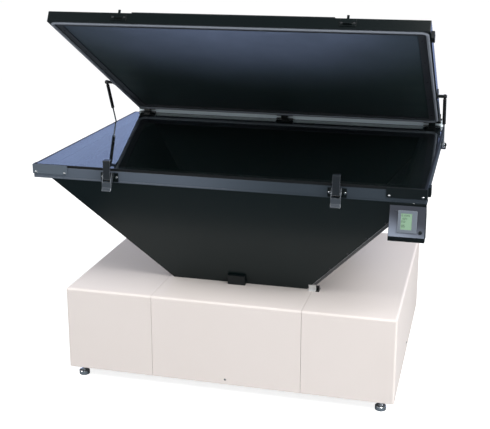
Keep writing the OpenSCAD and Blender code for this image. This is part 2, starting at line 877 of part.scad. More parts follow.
module lid_frame() {
    mid_y = (lid_front + lid_back) / 2;
    recess = 7;
    strip_w = 23;
    opening_w = lid_w - 2 * lid_rail_w;
    opening_d = lid_d - 2 * lid_rail_w;
    color(gloss_black) on_lid() difference() {
        translate([0, mid_y, lid_z]) linear_extrude(lid_t) round_rect(lid_w, lid_d, 2);
        translate([0, mid_y, lid_z + lid_t / 2])
            cube([opening_w, opening_d, lid_t + 2], center = true);
        // Step that takes the blanket and its clamp strips
        translate([0, mid_y, lid_z])
            cube([opening_w + 2 * strip_w, opening_d + 2 * strip_w, 2 * recess], center = true);
    }
}

module vacuum_blanket() {
    mid_y = (lid_front + lid_back) / 2;
    color(blanket_grey) on_lid() translate([0, mid_y, lid_z + 4])
        linear_extrude(3) square([lid_w - 2 * lid_rail_w + 45, lid_d - 2 * lid_rail_w + 45], center = true);
}

module clamp_strips() {
    mid_y = (lid_front + lid_back) / 2;
    opening_w = lid_w - 2 * lid_rail_w;
    opening_d = lid_d - 2 * lid_rail_w;
    color(hopper_black) on_lid() translate([0, mid_y, lid_z + 1]) linear_extrude(3) difference() {
        square([opening_w + 45, opening_d + 45], center = true);
        square([opening_w, opening_d], center = true);
    }
}

// Half-round section of the sealing bead, flat side up at z = 0
module bead_section() {
    intersection() {
        translate([0, 5.5 - bead_h]) circle(5.5);
        translate([-6, -bead_h - 1]) square([12, bead_h + 1]);
    }
}

module blanket_bead() {
    mid_y = (lid_front + lid_back) / 2;
    half_w = lid_w / 2 - 10.5;
    half_d = lid_d / 2 - 10.5;
    r = 20;
    color(bead_grey) on_lid() translate([0, mid_y, lid_z]) {
        for (y = [-1, 1]) translate([0, y * half_d, 0]) along_x(2 * (half_w - r)) bead_section();
        for (x = [-1, 1]) translate([x * half_w, 0, 0]) along_y(2 * (half_d - r)) bead_section();
        for (x = [0, 1], y = [0, 1]) mirror([x, 0, 0]) mirror([0, y, 0])
            translate([half_w - r, half_d - r, 0])
                rotate_extrude(angle = 90) translate([r, 0]) bead_section();
    }
}

// Grip strip along the front rail's upper face
module lid_handle() {
    color(gloss_black) on_lid() translate([0, lid_front, lid_z + lid_t]) difference() {
        along_x(670) polygon([[0, 0], [26, 0], [26, 2.5], [8, 4], [2, 4], [0, 3]]);
        for (x = [-310:124:310]) translate([x, 17, -1]) cylinder(h = 6, r = 2.2);
    }
}

// Keepers that the latch claws pull on
module keepers() {
    shelf_n = 18.5;
    color(gloss_black) on_lid() for (side = [-1, 1]) translate([side * latch_x, lid_front, lid_z]) {
        box([-26, -3, 9], [26, 0, 31]);
        box([-14, -11.2, shelf_n - 3], [14, -2, shelf_n]);
        // Guide finger that stands above the rail
        box([-4, -3, 30], [4, -0.2, lid_t + 10]);
    }
}

// Upper halves of the three hinges
module hinge_leaves() {
    color(gloss_black) on_lid() for (x = hinge_places) translate([x, 0, 0]) difference() {
        union() {
            box([-hinge_w / 2, lid_back, lid_z + 2], [hinge_w / 2, lid_back + 3, lid_z + 34]);
            for (side = [-1, 1]) translate([side * 24, 0, 0]) {
                box([-10, lid_back + 2, hinge_z - 2], [10, hinge_y, hinge_z + 7.5]);
                translate([0, hinge_y, hinge_z]) bar_x(-10, 10, 8);
            }
        }
        translate([0, hinge_y, hinge_z]) bar_x(-40, 40, 4 + run_gap);
    }
}

module lid_vacuum_port() {
    color(bright_metal) on_lid() translate([-300, lid_back, lid_z + 27]) difference() {
        union() {
            bar_y(0, 3, 9);
            bar_y(2, 20, 5);
        }
        bar_y(4, 21, 3.5);
    }
}

module lid_screws() {
    mid_y = (lid_front + lid_back) / 2;
    strip_x = lid_w / 2 - lid_rail_w + 11;
    strip_y = lid_d / 2 - lid_rail_w + 11;
    color(bright_metal) on_lid() {
        translate([0, mid_y, lid_z + 1]) {
            for (x = [-1, 1], y = [-390:195:390])
                translate([x * strip_x, y, 0]) rotate([180, 0, 0]) screw_head(3.6, 1.8);
            for (x = [-540:216:540], y = [-1, 1])
                translate([x, y * strip_y, 0]) rotate([180, 0, 0]) screw_head(3.6, 1.8);
        }
        for (x = [-1, 1], dx = [-20, 20])
            translate([x * latch_x + dx, lid_front - 3, lid_z + 20]) rotate([90, 0, 0]) screw_head(3.6, 2);
    }
}

module frame_screws() {
    color(bright_metal) from_front() {
        // Corner brackets
        for (x = [-1, 1], dx = [10, 112])
            translate([x * (table_w / 2 - dx), -2.5, rim_bottom + 19]) rotate([90, 0, 0]) screw_head(4, 2);
        // Latch plates
        for (x = [-1, 1], dx = [-24.5, 24.5])
            translate([x * latch_x + dx, -3, rim_bottom + 18]) rotate([90, 0, 0]) screw_head(4, 2);
        // Cabinet, front and back
        translate([0, cabinet_front, cabinet_lift + 18]) rotate([90, 0, 0]) screw_head(4, 2);
        translate([0, cabinet_back, cabinet_lift + 18]) rotate([-90, 0, 0]) screw_head(4, 2);
        for (x = [-1, 1])
            translate([x * cabinet_w / 2, cabinet_front + 430, cabinet_lift + 32])
                rotate([0, x * 90, 0]) screw_head(4, 2);
        // Slope flanges of the hopper's side panel
        for (back = [0, 1], z = [cabinet_top + 105 : 72 : cabinet_top + 321])
            translate([0, back * table_d, 0]) mirror([0, back, 0])
                translate([hopper_right(z) - 7.3, hopper_front(z) - 0.02, z])
                    rotate([90 + front_slope, 0, 0]) screw_head(4, 2.2);
    }
}

// Inside the cabinet

reflector_top = cabinet_top - sheet;
reflector_h = 180;
lamp_z = cabinet_top - 95;

// Dish between the top flange and its floor, moved in by inset
module dish(inset, up) {
    z0 = reflector_top - reflector_h + inset;
    z1 = reflector_top + up;
    top_w = hopper_foot_w / 2 - 14;
    top_d = hopper_foot_d / 2 - 14;
    translate([0, table_d / 2, 0]) intersection() {
        along_y(2 * table_d) polygon([
            [-110 + inset, z0], [110 - inset, z0], [top_w - inset, z1], [-top_w + inset, z1]]);
        along_x(2 * table_w) polygon([
            [-150 + inset, z0], [150 - inset, z0], [top_d - inset, z1], [-top_d + inset, z1]]);
    }
}

module reflector() {
    color(bright_metal) from_front() difference() {
        union() {
            difference() {
                dish(0, -2);
                dish(1.5, 1);
            }
            difference() {
                translate([0, table_d / 2, reflector_top - 1])
                    cube([hopper_foot_w - 4, hopper_foot_d - 4, 2], center = true);
                dish(1.5, 1);
            }
        }
        translate([0, 0, lamp_z]) bar_y(table_d / 2, table_d, 24);
    }
}

module lamp_bulb() {
    color(ceramic_white) from_front() translate([0, 0, lamp_z]) {
        translate([0, table_d / 2 - 120, 0]) {
            sphere(23);
            bar_y(0, 210, 23);
        }
        bar_y(table_d / 2 + 88, table_d / 2 + 262, 19);
    }
}

module lamp_socket() {
    y0 = table_d / 2 + 216;
    color(ceramic_white) from_front() difference() {
        union() {
            translate([0, 0, lamp_z]) bar_y(y0, y0 + 66, 30);
            box([-22, y0 + 30, floor_z], [22, y0 + 60, lamp_z - 10]);
            box([-40, y0 + 20, floor_z], [40, y0 + 70, floor_z + 4]);
        }
        translate([0, 0, lamp_z]) bar_y(y0 - 1, y0 + 48, 19.1);
    }
}

// Ballast: laminated core with two windings on a mounting plate
module ballast() {
    color(copper) from_front() translate([-430, 330, floor_z]) {
        box([-110, -80, 0], [110, 80, 4]);
        difference() {
            box([-90, -60, 4], [90, 60, 134]);
            for (x = [-42, 42]) box([x - 24, -61, 30], [x + 24, 61, 108]);
        }
        for (x = [-42, 42]) translate([x, 0, 32]) linear_extrude(74) round_rect(46, 156, 10);
    }
}

module capacitors() {
    color(steel_grey) from_front() for (y = [500, 590])
        translate([-430, y, floor_z]) {
            linear_extrude(120) round_rect(96, 56, 27);
            translate([0, 0, 120]) linear_extrude(4) round_rect(100, 60, 29);
            for (x = [-22, 22]) translate([x, 0, 124]) cylinder(h = 14, r = 5);
        }
}

module terminal_box() {
    color(panel_grey) from_front() translate([-430, 760, floor_z]) difference() {
        linear_extrude(90) round_rect(200, 120, 4);
        translate([0, 0, 70]) linear_extrude(30) square([160, 40], center = true);
    }
}

// Vacuum pump: motor, pump head and feet
module vacuum_pump() {
    axis_z = floor_z + 90;
    color(steel_grey) from_front() translate([430, 0, 0]) difference() {
        union() {
            translate([0, 0, axis_z]) {
                bar_y(360, 540, 58);
                bar_y(345, 361, 50);
                bar_y(539, 560, 44);
                for (y = [385:22:517]) bar_y(y, y + 8, 63);
            }
            translate([-65, 560, axis_z - 60]) cube([130, 70, 120]);
            for (y = [380, 500]) box([-60, y, floor_z], [60, y + 26, axis_z - 30]);
            translate([0, 595, axis_z + 60]) cylinder(h = 26, r = 7);
        }
        translate([0, 595, axis_z + 70]) cylinder(h = 30, r = 4.5);
    }
}

// Fan behind the grille
fan_back = cabinet_back - sheet;
module fan_housing() {
    color(gloss_black) from_front() translate([fan_x, fan_back - 40, fan_z]) {
        difference() {
            rotate([-90, 0, 0]) linear_extrude(40) round_rect(172, 172, 8);
            bar_y(-1, 41, 79);
        }
        // Motor carrier with three arms
        bar_y(0, 3, 30);
        for (a = [30, 150, 270]) rotate([0, a, 0]) box([20, 0, -5], [82, 3, 5]);
        bar_y(2, 12, 4);
    }
}

module fan_rotor() {
    color(gloss_black) from_front() translate([fan_x, fan_back - 40, fan_z]) difference() {
        union() {
            bar_y(5, 32, 28);
            intersection() {
                difference() {
                    bar_y(5, 34, 74);
                    bar_y(4, 35, 26);
                }
                for (i = [0:6]) rotate([0, i * 360 / 7, 0])
                    translate([50, 19, 0]) rotate([35, 0, 0]) cube([60, 2, 46], center = true);
            }
        }
        bar_y(4, 20, 4 + run_gap);
    }
}

module power_gland() {
    color(rubber_black) from_front() translate([gland_x, 0, gland_z]) difference() {
        union() {
            bar_y(cabinet_back - 14, cabinet_back + 2, gland_r);
            translate([0, cabinet_back, 0]) rotate([-90, 0, 0]) cylinder(h = 8, r = 15, $fn = 6);
            bar_y(cabinet_back + 7, cabinet_back + 18, 12.5);
            translate([0, cabinet_back - sheet - 6, 0]) rotate([-90, 0, 0]) cylinder(h = 6, r = 15, $fn = 6);
        }
        bar_y(cabinet_back - 15, cabinet_back + 19, 6);
    }
}

// Barbed outlet for the vacuum hose
module hose_nipple() {
    color(bright_metal) from_front() translate([nipple_x, 0, gland_z]) difference() {
        union() {
            bar_y(cabinet_back - 12, cabinet_back + 2, 6);
            translate([0, cabinet_back, 0]) rotate([-90, 0, 0]) cylinder(h = 5, r = 10, $fn = 6);
            translate([0, cabinet_back - sheet - 5, 0]) rotate([-90, 0, 0]) cylinder(h = 5, r = 10, $fn = 6);
            bar_y(cabinet_back + 4, cabinet_back + 26, 5);
        }
        bar_y(cabinet_back - 13, cabinet_back + 27, 3.5);
    }
}

// Shutter leaves, drawn shut
module shutter_leaf() {
    color(hopper_black) from_front() {
        translate([shaft_x, 0, shaft_z]) {
            bar_y(leaf_front - 12, leaf_back + 12, shaft_r);
            box([-shaft_x + 1, leaf_front, 0], [2, leaf_back, 1.6]);
            box([-shaft_x + 1, leaf_front, 0], [-shaft_x + 3, leaf_back, 10]);
        }
    }
}

module left_shutter_leaf() {
    mirror([1, 0, 0]) shutter_leaf();
}

module right_shutter_leaf() {
    shutter_leaf();
}

// Levelling foot: disc, stud and lock nut
module foot(side, y) {
    color(bright_metal) from_front() translate([side * foot_x, y, 0]) {
        rotate_extrude() polygon([
            [0, 0], [foot_r - 0.8, 0], [foot_r, 0.8], [foot_r, 13.5], [foot_r - 1.5, 15],
            [8.5, 16.5], [7, 19], [0, 19]]);
        cylinder(h = floor_z + 24, r = 5);
        translate([0, 0, cabinet_lift - 8.5]) cylinder(h = 8, r = 9.2, $fn = 6);
    }
}

module front_left_foot() {
    foot(-1, cabinet_front + foot_inset);
}

module front_right_foot() {
    foot(1, cabinet_front + foot_inset);
}

module rear_left_foot() {
    foot(-1, cabinet_back - foot_inset);
}

module rear_right_foot() {
    foot(1, cabinet_back - foot_inset);
}

base_frame();
centre_cover();
left_cover();
right_cover();
hopper_shell();
hopper_side_panel();
hopper_corner_bracket();
shutter_drive_box();
table_frame();
corner_brackets();
frame_screws();
glass_sheet();
glass_gasket();
hinge_rail();
hinge_blocks();
hinge_pins();
latch_plates();
strut_brackets();
lid_sensor();
control_housing();
control_face();
display_bezel();
display_screen();
lamp_bulb();
lamp_socket();
reflector();
ballast();
capacitors();
terminal_box();
vacuum_pump();
fan_housing();
power_gland();
hose_nipple();
lid_frame();
vacuum_blanket();
blanket_bead();
clamp_strips();
lid_handle();
keepers();
hinge_leaves();
lid_strut_mounts();
lid_magnet();
lid_screws();
lid_vacuum_port();
left_strut_cylinder();
right_strut_cylinder();
left_strut_rod();
right_strut_rod();
left_latch_lever();
right_latch_lever();
left_latch_claw();
right_latch_claw();
left_shutter_leaf();
right_shutter_leaf();
fan_rotor();
start_button();
front_left_foot();
front_right_foot();
rear_left_foot();
rear_right_foot();
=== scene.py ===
# %% [markdown]
# # A screen printing exposure unit, dressed for the camera
# The solids come from CAD at their real size, and this script gives them their finishes.
# It adds the small pieces that solids are poor at: the stretched rubber blanket, threads,
# screw heads and the figures on the display. We load the solids first.

# %% Load the solids
import math

import bpy
import numpy as np
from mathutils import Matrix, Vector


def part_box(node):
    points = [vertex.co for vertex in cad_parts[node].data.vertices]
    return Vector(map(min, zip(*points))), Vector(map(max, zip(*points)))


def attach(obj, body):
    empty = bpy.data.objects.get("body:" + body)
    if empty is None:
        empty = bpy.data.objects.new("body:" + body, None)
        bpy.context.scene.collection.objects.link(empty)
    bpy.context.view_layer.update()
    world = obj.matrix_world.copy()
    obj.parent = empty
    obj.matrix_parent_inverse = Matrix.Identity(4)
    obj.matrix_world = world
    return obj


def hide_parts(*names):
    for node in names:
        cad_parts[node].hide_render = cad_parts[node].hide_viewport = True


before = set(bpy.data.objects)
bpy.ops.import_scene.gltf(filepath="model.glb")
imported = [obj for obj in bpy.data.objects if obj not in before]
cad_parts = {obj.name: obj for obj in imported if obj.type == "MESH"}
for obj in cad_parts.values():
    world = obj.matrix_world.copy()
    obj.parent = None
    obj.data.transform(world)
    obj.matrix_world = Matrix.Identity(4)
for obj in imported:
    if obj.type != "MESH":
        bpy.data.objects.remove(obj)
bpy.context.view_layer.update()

# %% [markdown]
# ## The camera
# The photograph was taken a little from the right and from above table height, with a long
# lens, so the upright edges stay nearly parallel. The place, angles and lens were found by
# matching the corners of the table, the lid and the cabinet. A small vertical shift gives
# the picture its framing without tilting the camera.

# %% Camera
camera_data = bpy.data.cameras.new("photo_camera")
camera_data.sensor_width = 36
camera_data.lens = 70.48
camera_data.shift_y = -0.0704
camera = bpy.data.objects.new("photo_camera", camera_data)
camera.location = (0.8157, -3.3150, 1.5625)
camera.rotation_euler = (math.radians(75.0), 0, math.radians(14.48))
bpy.context.scene.collection.objects.link(camera)
bpy.context.scene.camera = camera
bpy.context.scene.view_settings.view_transform = "Standard"
print("camera at", tuple(round(v, 3) for v in camera.location))

# %% [markdown]
# ## Shader tools
# A material is a small graph of nodes. These helpers add a node, set its values and join
# sockets, so that each material below reads as a short list of decisions. All textures are
# laid out by the place on the object, in metres.


# %% Node helpers
def add_node(tree, kind, **values):
    """Adds a node of this kind. Values whose names are sockets set the sockets, and the rest set properties."""
    made = tree.nodes.new(kind)
    for name, value in values.items():
        socket = name.replace("_", " ")
        if socket in made.inputs:
            made.inputs[socket].default_value = value
        else:
            setattr(made, name, value)
    return made


def new_group(name, inputs, outputs):
    """Makes an empty shader group. Inputs are (name, socket type, value) and outputs are (name, socket type)."""
    group = bpy.data.node_groups.new(name, "ShaderNodeTree")
    for label, kind, value in inputs:
        made = group.interface.new_socket(label, in_out="INPUT", socket_type=kind)
        made.default_value = value
    for label, kind in outputs:
        group.interface.new_socket(label, in_out="OUTPUT", socket_type=kind)
    return group, group.nodes.new("NodeGroupInput"), group.nodes.new("NodeGroupOutput")


def ranged(tree, value, lowest, highest, start=0.0, end=1.0, **kind):
    """Maps a value socket that runs from start to end on the range from lowest to highest."""
    made = add_node(tree, "ShaderNodeMapRange", **kind)
    limits = {"From Min": start, "From Max": end, "To Min": lowest, "To Max": highest}
    for label, limit in limits.items():
        made.inputs[label].default_value = limit
    tree.links.new(value, made.inputs["Value"])
    return made.outputs["Result"]


def combine(tree, operation, first, second):
    """Joins two values by one arithmetic operation. The second is a socket or a number."""
    made = add_node(tree, "ShaderNodeMath", operation=operation)
    tree.links.new(first, made.inputs[0])
    if isinstance(second, float):
        made.inputs[1].default_value = second
    else:
        tree.links.new(second, made.inputs[1])
    return made.outputs[0]


def object_place(tree):
    """The socket with the place on the object, in metres."""
    return add_node(tree, "ShaderNodeTexCoord").outputs["Object"]


def along_axis(tree, axis):
    """The socket with the place along one axis of the object."""
    parts = add_node(tree, "ShaderNodeSeparateXYZ")
    tree.links.new(object_place(tree), parts.inputs[0])
    return parts.outputs[axis]


def noise_at(tree, scale, detail):
    """The socket of a noise over the object's own place."""
    made = add_node(tree, "ShaderNodeTexNoise", Scale=scale, Detail=detail)
    tree.links.new(object_place(tree), made.inputs["Vector"])
    return made.outputs["Fac"]


FLOAT, VECTOR = "NodeSocketFloat", "NodeSocketVector"

# %% [markdown]
# ### Paint texture
# Powder coat is never quite flat: it has a fine pimpled skin and slow ripples under it. One
# group makes that height from two noises, a fine one and one eight times coarser, and every
# painted or moulded surface uses it with its own size.

# %% Group: paint texture
paint_skin, inside, outside = new_group(
    "paint_skin", [("Size", FLOAT, 900.0), ("Ripple", FLOAT, 0.35)], [("Height", FLOAT), ("Cloud", FLOAT)]
)
place = object_place(paint_skin)
pimples = add_node(paint_skin, "ShaderNodeTexNoise", Detail=2.0)
ripples = add_node(paint_skin, "ShaderNodeTexNoise", Detail=1.0)
clouds = add_node(paint_skin, "ShaderNodeTexNoise", Scale=3.0, Detail=3.0)
coarser = combine(paint_skin, "DIVIDE", inside.outputs["Size"], 8.0)
mixed = add_node(paint_skin, "ShaderNodeMix", data_type="FLOAT")
for texture in (pimples, ripples, clouds):
    paint_skin.links.new(place, texture.inputs["Vector"])
paint_skin.links.new(inside.outputs["Size"], pimples.inputs["Scale"])
paint_skin.links.new(coarser, ripples.inputs["Scale"])
paint_skin.links.new(inside.outputs["Ripple"], mixed.inputs[0])
paint_skin.links.new(pimples.outputs["Fac"], mixed.inputs[2])
paint_skin.links.new(ripples.outputs["Fac"], mixed.inputs[3])
paint_skin.links.new(mixed.outputs[0], outside.inputs["Height"])
paint_skin.links.new(clouds.outputs["Fac"], outside.inputs["Cloud"])
print("group:", paint_skin.name)

# %% [markdown]
# ### Soft edges, rubbed edges and painted edge highlights
# Sheet metal is folded and filed, so no real edge is razor sharp. A Bevel node bends the
# normal near an edge, which catches a thin line of light. Where the bent normal leaves the
# true one, the surface is at an edge, and that difference is a mask for rubbed paint on some
# finishes and for painted highlights along the edges on others.

# %% Group: edges
edge_wear_and_highlight, inside, outside = new_group(
    "edge_wear_and_highlight", [("Radius", FLOAT, 0.0012), ("Break up", FLOAT, 40.0)], [("Normal", VECTOR), ("Mask", FLOAT)]
)
rounded = add_node(edge_wear_and_highlight, "ShaderNodeBevel", samples=4)
true_face = add_node(edge_wear_and_highlight, "ShaderNodeNewGeometry")
alike = add_node(edge_wear_and_highlight, "ShaderNodeVectorMath", operation="DOT_PRODUCT")
spread = ranged(edge_wear_and_highlight, alike.outputs["Value"], 0.0, 1.0, start=0.995, end=0.80)
patches = add_node(edge_wear_and_highlight, "ShaderNodeTexNoise", Detail=3.0)
rubbed_and_highlight = combine(edge_wear_and_highlight, "MULTIPLY", spread, patches.outputs["Fac"])
edge_wear_and_highlight.links.new(inside.outputs["Radius"], rounded.inputs["Radius"])
edge_wear_and_highlight.links.new(rounded.outputs["Normal"], alike.inputs[0])
edge_wear_and_highlight.links.new(true_face.outputs["Normal"], alike.inputs[1])
edge_wear_and_highlight.links.new(object_place(edge_wear_and_highlight), patches.inputs["Vector"])
edge_wear_and_highlight.links.new(inside.outputs["Break up"], patches.inputs["Scale"])
edge_wear_and_highlight.links.new(rounded.outputs["Normal"], outside.inputs["Normal"])
edge_wear_and_highlight.links.new(rubbed_and_highlight, outside.inputs["Mask"])
print("group:", edge_wear_and_highlight.name)

# %% [markdown]
# ### Drawn lines
# Rolled and brushed metal has fine lines along its length. A noise squeezed across the line
# and stretched along it gives them, and the stretch is an input, so a rod can have its lines
# round it and a rail along it.

# %% Group: drawn lines
drawn_lines, inside, outside = new_group("drawn_lines", [("Stretch", VECTOR, (4.0, 900.0, 900.0))], [("Line", FLOAT)])
squeeze = add_node(drawn_lines, "ShaderNodeVectorMath", operation="MULTIPLY")
lines = add_node(drawn_lines, "ShaderNodeTexNoise", Scale=1.0, Detail=2.0)
drawn_lines.links.new(object_place(drawn_lines), squeeze.inputs[0])
drawn_lines.links.new(inside.outputs["Stretch"], squeeze.inputs[1])
drawn_lines.links.new(squeeze.outputs[0], lines.inputs["Vector"])
drawn_lines.links.new(lines.outputs["Fac"], outside.inputs["Line"])
print("group:", drawn_lines.name)

# %% [markdown]
# ### Settled dust
# Dust lies where a surface looks up, in patches. The mask is the upward part of the normal
# times a slow noise. Materials use it to pale the colour a little.

# %% Group: dust
settled_dust, inside, outside = new_group("settled_dust", [("Amount", FLOAT, 0.3)], [("Mask", FLOAT)])
true_face = add_node(settled_dust, "ShaderNodeNewGeometry")
parts = add_node(settled_dust, "ShaderNodeSeparateXYZ")
settled_dust.links.new(true_face.outputs["Normal"], parts.inputs[0])
upward = combine(settled_dust, "MAXIMUM", parts.outputs["Z"], 0.0)
lying = combine(settled_dust, "MULTIPLY", upward, noise_at(settled_dust, 14.0, 6.0))
scaled = combine(settled_dust, "MULTIPLY", lying, inside.outputs["Amount"])
settled_dust.links.new(scaled, outside.inputs["Mask"])
print("group:", settled_dust.name)

# %% [markdown]
# ## One recipe for painted, moulded and metal surfaces
# Most finishes here differ only in numbers: two close colours that mix in slow clouds, a
# gloss that varies a little, a skin with its own grain, soft edges and some dust. So one
# function builds them, and the exceptions, glass and the display, are built by hand.


# %% The recipe
def blank_material(name):
    """A material with only its Principled BSDF."""
    material = bpy.data.materials.new(name)
    material.use_nodes = True
    return material, material.node_tree, material.node_tree.nodes["Principled BSDF"]


def place_group(tree, group, **values):
    """Places a group in a material with its own input values."""
    made = tree.nodes.new("ShaderNodeGroup")
    made.node_tree = group
    for name, value in values.items():
        made.inputs[name.replace("_", " ")].default_value = value
    return made


def colour_mix(tree, factor, first, second):
    """Mixes two colours by a factor socket. Each of them is a socket or three numbers."""
    mixer = add_node(tree, "ShaderNodeMix", data_type="RGBA")
    tree.links.new(factor, mixer.inputs[0])
    for slot, value in ((6, first), (7, second)):
        if isinstance(value, tuple):
            mixer.inputs[slot].default_value = (*value, 1.0)
        else:
            tree.links.new(value, mixer.inputs[slot])
    return mixer.outputs[2]


DUST_COLOUR = (0.45, 0.43, 0.40)


def repaint(material, mask, colour):
    """Lays a second colour over a material's own where the mask is 1."""
    tree = material.node_tree
    base = tree.nodes["Principled BSDF"].inputs["Base Color"]
    own = base.links[0].from_socket
    tree.links.new(colour_mix(tree, mask, own, colour), base)


def surface(
    name,
    colour,
    second=None,
    gloss=(0.35, 0.45),
    metal=0.0,
    coat=0.0,
    grain=900.0,
    ripple=0.35,
    depth=0.00002,
    edge=0.0012,
    rubbed_and_highlight=None,
    dust=0.0,
    lines=None,
    specular=0.5,
    tint=(1.0, 1.0, 1.0),
):
    """Builds a material with a clouded colour, a gloss that varies, a grained skin and soft edges.
    Pale edges (rubbed paint on some finishes, painted highlights on others), dust and drawn lines are left out unless
    they are given."""
    material, tree, shader = blank_material(name)
    second = second or tuple(min(1.0, c * 1.12 + 0.002) for c in colour)
    skin = place_group(tree, paint_skin, Size=grain, Ripple=ripple)
    edges = place_group(tree, edge_wear_and_highlight, Radius=edge)
    paint = colour_mix(tree, skin.outputs["Cloud"], colour, second)
    height = skin.outputs["Height"]
    # The pale edge colour is rubbed paint on some finishes and a painted highlight on others.
    if rubbed_and_highlight:
        paint = colour_mix(tree, edges.outputs["Mask"], paint, rubbed_and_highlight)
    if dust:
        film = place_group(tree, settled_dust, Amount=dust)
        paint = colour_mix(tree, film.outputs["Mask"], paint, DUST_COLOUR)
    if lines:
        brushed = place_group(tree, drawn_lines, Stretch=lines)
        height = brushed.outputs["Line"]
    tree.links.new(paint, shader.inputs["Base Color"])
    varying = height if lines else skin.outputs["Cloud"]
    tree.links.new(ranged(tree, varying, *gloss), shader.inputs["Roughness"])
    bump = add_node(tree, "ShaderNodeBump", Strength=1.0, Distance=depth)
    tree.links.new(height, bump.inputs["Height"])
    tree.links.new(edges.outputs["Normal"], bump.inputs["Normal"])
    tree.links.new(bump.outputs["Normal"], shader.inputs["Normal"])
    shader.inputs["Metallic"].default_value = metal
    shader.inputs["Coat Weight"].default_value = coat
    shader.inputs["Coat Roughness"].default_value = 0.12
    shader.inputs["Specular IOR Level"].default_value = specular
    shader.inputs["Specular Tint"].default_value = (*tint, 1.0)
    return material


# %% [markdown]
# ## The finishes
# The cabinet is cream powder coat with a fine pimpled skin. The hopper is black and a little
# duller than the lid and its fittings, which are gloss black. Its side panel is a dark grey
# satin whose pale edges are painted highlights, and the pale edges of the latch claws and
# levers are painted highlights too. The face of the control box is paler towards its lower
# left, a painted reflection of the lit floor.

# %% Paints
cream_coat = surface(
    "cream_coat",
    (0.80, 0.735, 0.70),
    (0.82, 0.76, 0.735),
    gloss=(0.42, 0.50),
    grain=1400.0,
    depth=0.00003,
    edge=0.002,
)
hopper_black = surface(
    "hopper_black",
    (0.002, 0.006, 0.006),
    (0.004, 0.009, 0.010),
    gloss=(0.30, 0.38),
    grain=700.0,
    edge=0.0015,
    specular=0.26,
    tint=(0.80, 0.96, 1.0),
)
# Painted highlight: the pale rubbed colour along the edges of this satin stands in for the light that the edges
# catch.
strip_satin = surface(
    "strip_satin",
    (0.038, 0.042, 0.048),
    (0.048, 0.052, 0.060),
    gloss=(0.26, 0.36),
    grain=700.0,
    edge=0.0024,
    rubbed_and_highlight=(0.78, 0.80, 0.83),
)
lid_black = surface(
    "lid_black",
    (0.002, 0.005, 0.005),
    (0.004, 0.007, 0.008),
    gloss=(0.20, 0.28),
    coat=0.10,
    grain=600.0,
    ripple=0.6,
    rubbed_and_highlight=(0.05, 0.055, 0.06),
    specular=0.24,
)
# Painted highlight: the pale rubbed colour along the latch claws' edges stands in for the light that the edges catch.
latch_black = surface(
    "latch_black",
    (0.010, 0.013, 0.016),
    (0.018, 0.022, 0.027),
    gloss=(0.16, 0.26),
    coat=0.3,
    grain=500.0,
    edge=0.0016,
    rubbed_and_highlight=(0.42, 0.45, 0.50),
)
strip_grey = surface("strip_grey", (0.035, 0.04, 0.05), gloss=(0.32, 0.42), grain=800.0)
panel_grey = surface("panel_grey", (0.030, 0.034, 0.046), (0.045, 0.050, 0.064), gloss=(0.25, 0.36), grain=500.0)
# The paler corner of the panel is painted light, a painted reflection of the lit floor. It is found by how far a
# place lies along a slant
PAINTED_REFLECTION_SLANT = (-3.0, 0.0, -9.0)
tree = panel_grey.node_tree
slant = add_node(tree, "ShaderNodeVectorMath", operation="DOT_PRODUCT")
slant.inputs[1].default_value = PAINTED_REFLECTION_SLANT
tree.links.new(object_place(tree), slant.inputs[0])
panel_start = float(np.dot(PAINTED_REFLECTION_SLANT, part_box("control_face")[1]))
fade = ranged(
    tree, slant.outputs["Value"], 0.0, 1.0, panel_start + 0.45, panel_start + 1.20, interpolation_type="SMOOTHSTEP"
)
broken = ranged(tree, noise_at(tree, 30.0, 4.0), 0.7, 1.15)
repaint(panel_grey, combine(tree, "MULTIPLY", fade, broken), (0.26, 0.30, 0.38))
primer_grey = surface("primer_grey", (0.28, 0.29, 0.30), gloss=(0.5, 0.6), grain=900.0, dust=0.3)
casting_grey = surface("casting_grey", (0.12, 0.13, 0.14), gloss=(0.45, 0.6), grain=260.0, depth=0.0002, dust=0.4)
core_varnish = surface(
    "core_varnish", (0.10, 0.035, 0.015), gloss=(0.25, 0.4), lines=(900.0, 900.0, 4.0), depth=0.0001
)
print("paints ready")

# %% [markdown]
# Bare metals reflect what is around them, so their colour is mostly the studio's. What tells
# one from another is the gloss: polished feet, satin zinc, brushed rails.

# %% Metals
rim_satin = surface(
    "rim_satin",
    (0.105, 0.130, 0.168),
    (0.125, 0.152, 0.192),
    gloss=(0.34, 0.44),
    metal=0.4,
    lines=(6.0, 1200.0, 1200.0),
    depth=0.00002,
    rubbed_and_highlight=(0.5, 0.52, 0.56),
)
rail_light = surface(
    "rail_light", (0.80, 0.90, 1.0), gloss=(0.28, 0.40), metal=0.0, lines=(6.0, 1200.0, 1200.0), depth=0.00003
)
# Painted highlight: the pale rubbed colour along the levers' edges stands in for the light that the edges catch.
lever_satin = surface(
    "lever_satin",
    (0.10, 0.115, 0.135),
    gloss=(0.16, 0.26),
    metal=0.6,
    grain=400.0,
    edge=0.0018,
    rubbed_and_highlight=(0.75, 0.77, 0.80),
)
zinc_plate = surface("zinc_plate", (0.78, 0.79, 0.80), (0.84, 0.84, 0.83), gloss=(0.26, 0.40), metal=0.2, grain=250.0)
nickel = surface("nickel", (0.66, 0.665, 0.67), gloss=(0.10, 0.18), metal=1.0, grain=400.0, edge=0.0004)
black_screws = surface("black_screws", (0.020, 0.022, 0.024), gloss=(0.30, 0.40), grain=400.0, edge=0.0004)
polished = surface("polished", (0.70, 0.71, 0.73), gloss=(0.06, 0.14), metal=1.0, grain=500.0, edge=0.0008)
bright_sheet = surface("bright_sheet", (0.72, 0.73, 0.75), gloss=(0.15, 0.25), metal=1.0, grain=90.0, depth=0.0006)
drawn_can = surface("drawn_can", (0.55, 0.56, 0.57), gloss=(0.28, 0.40), metal=1.0, lines=(900.0, 900.0, 5.0))
print("metals ready")

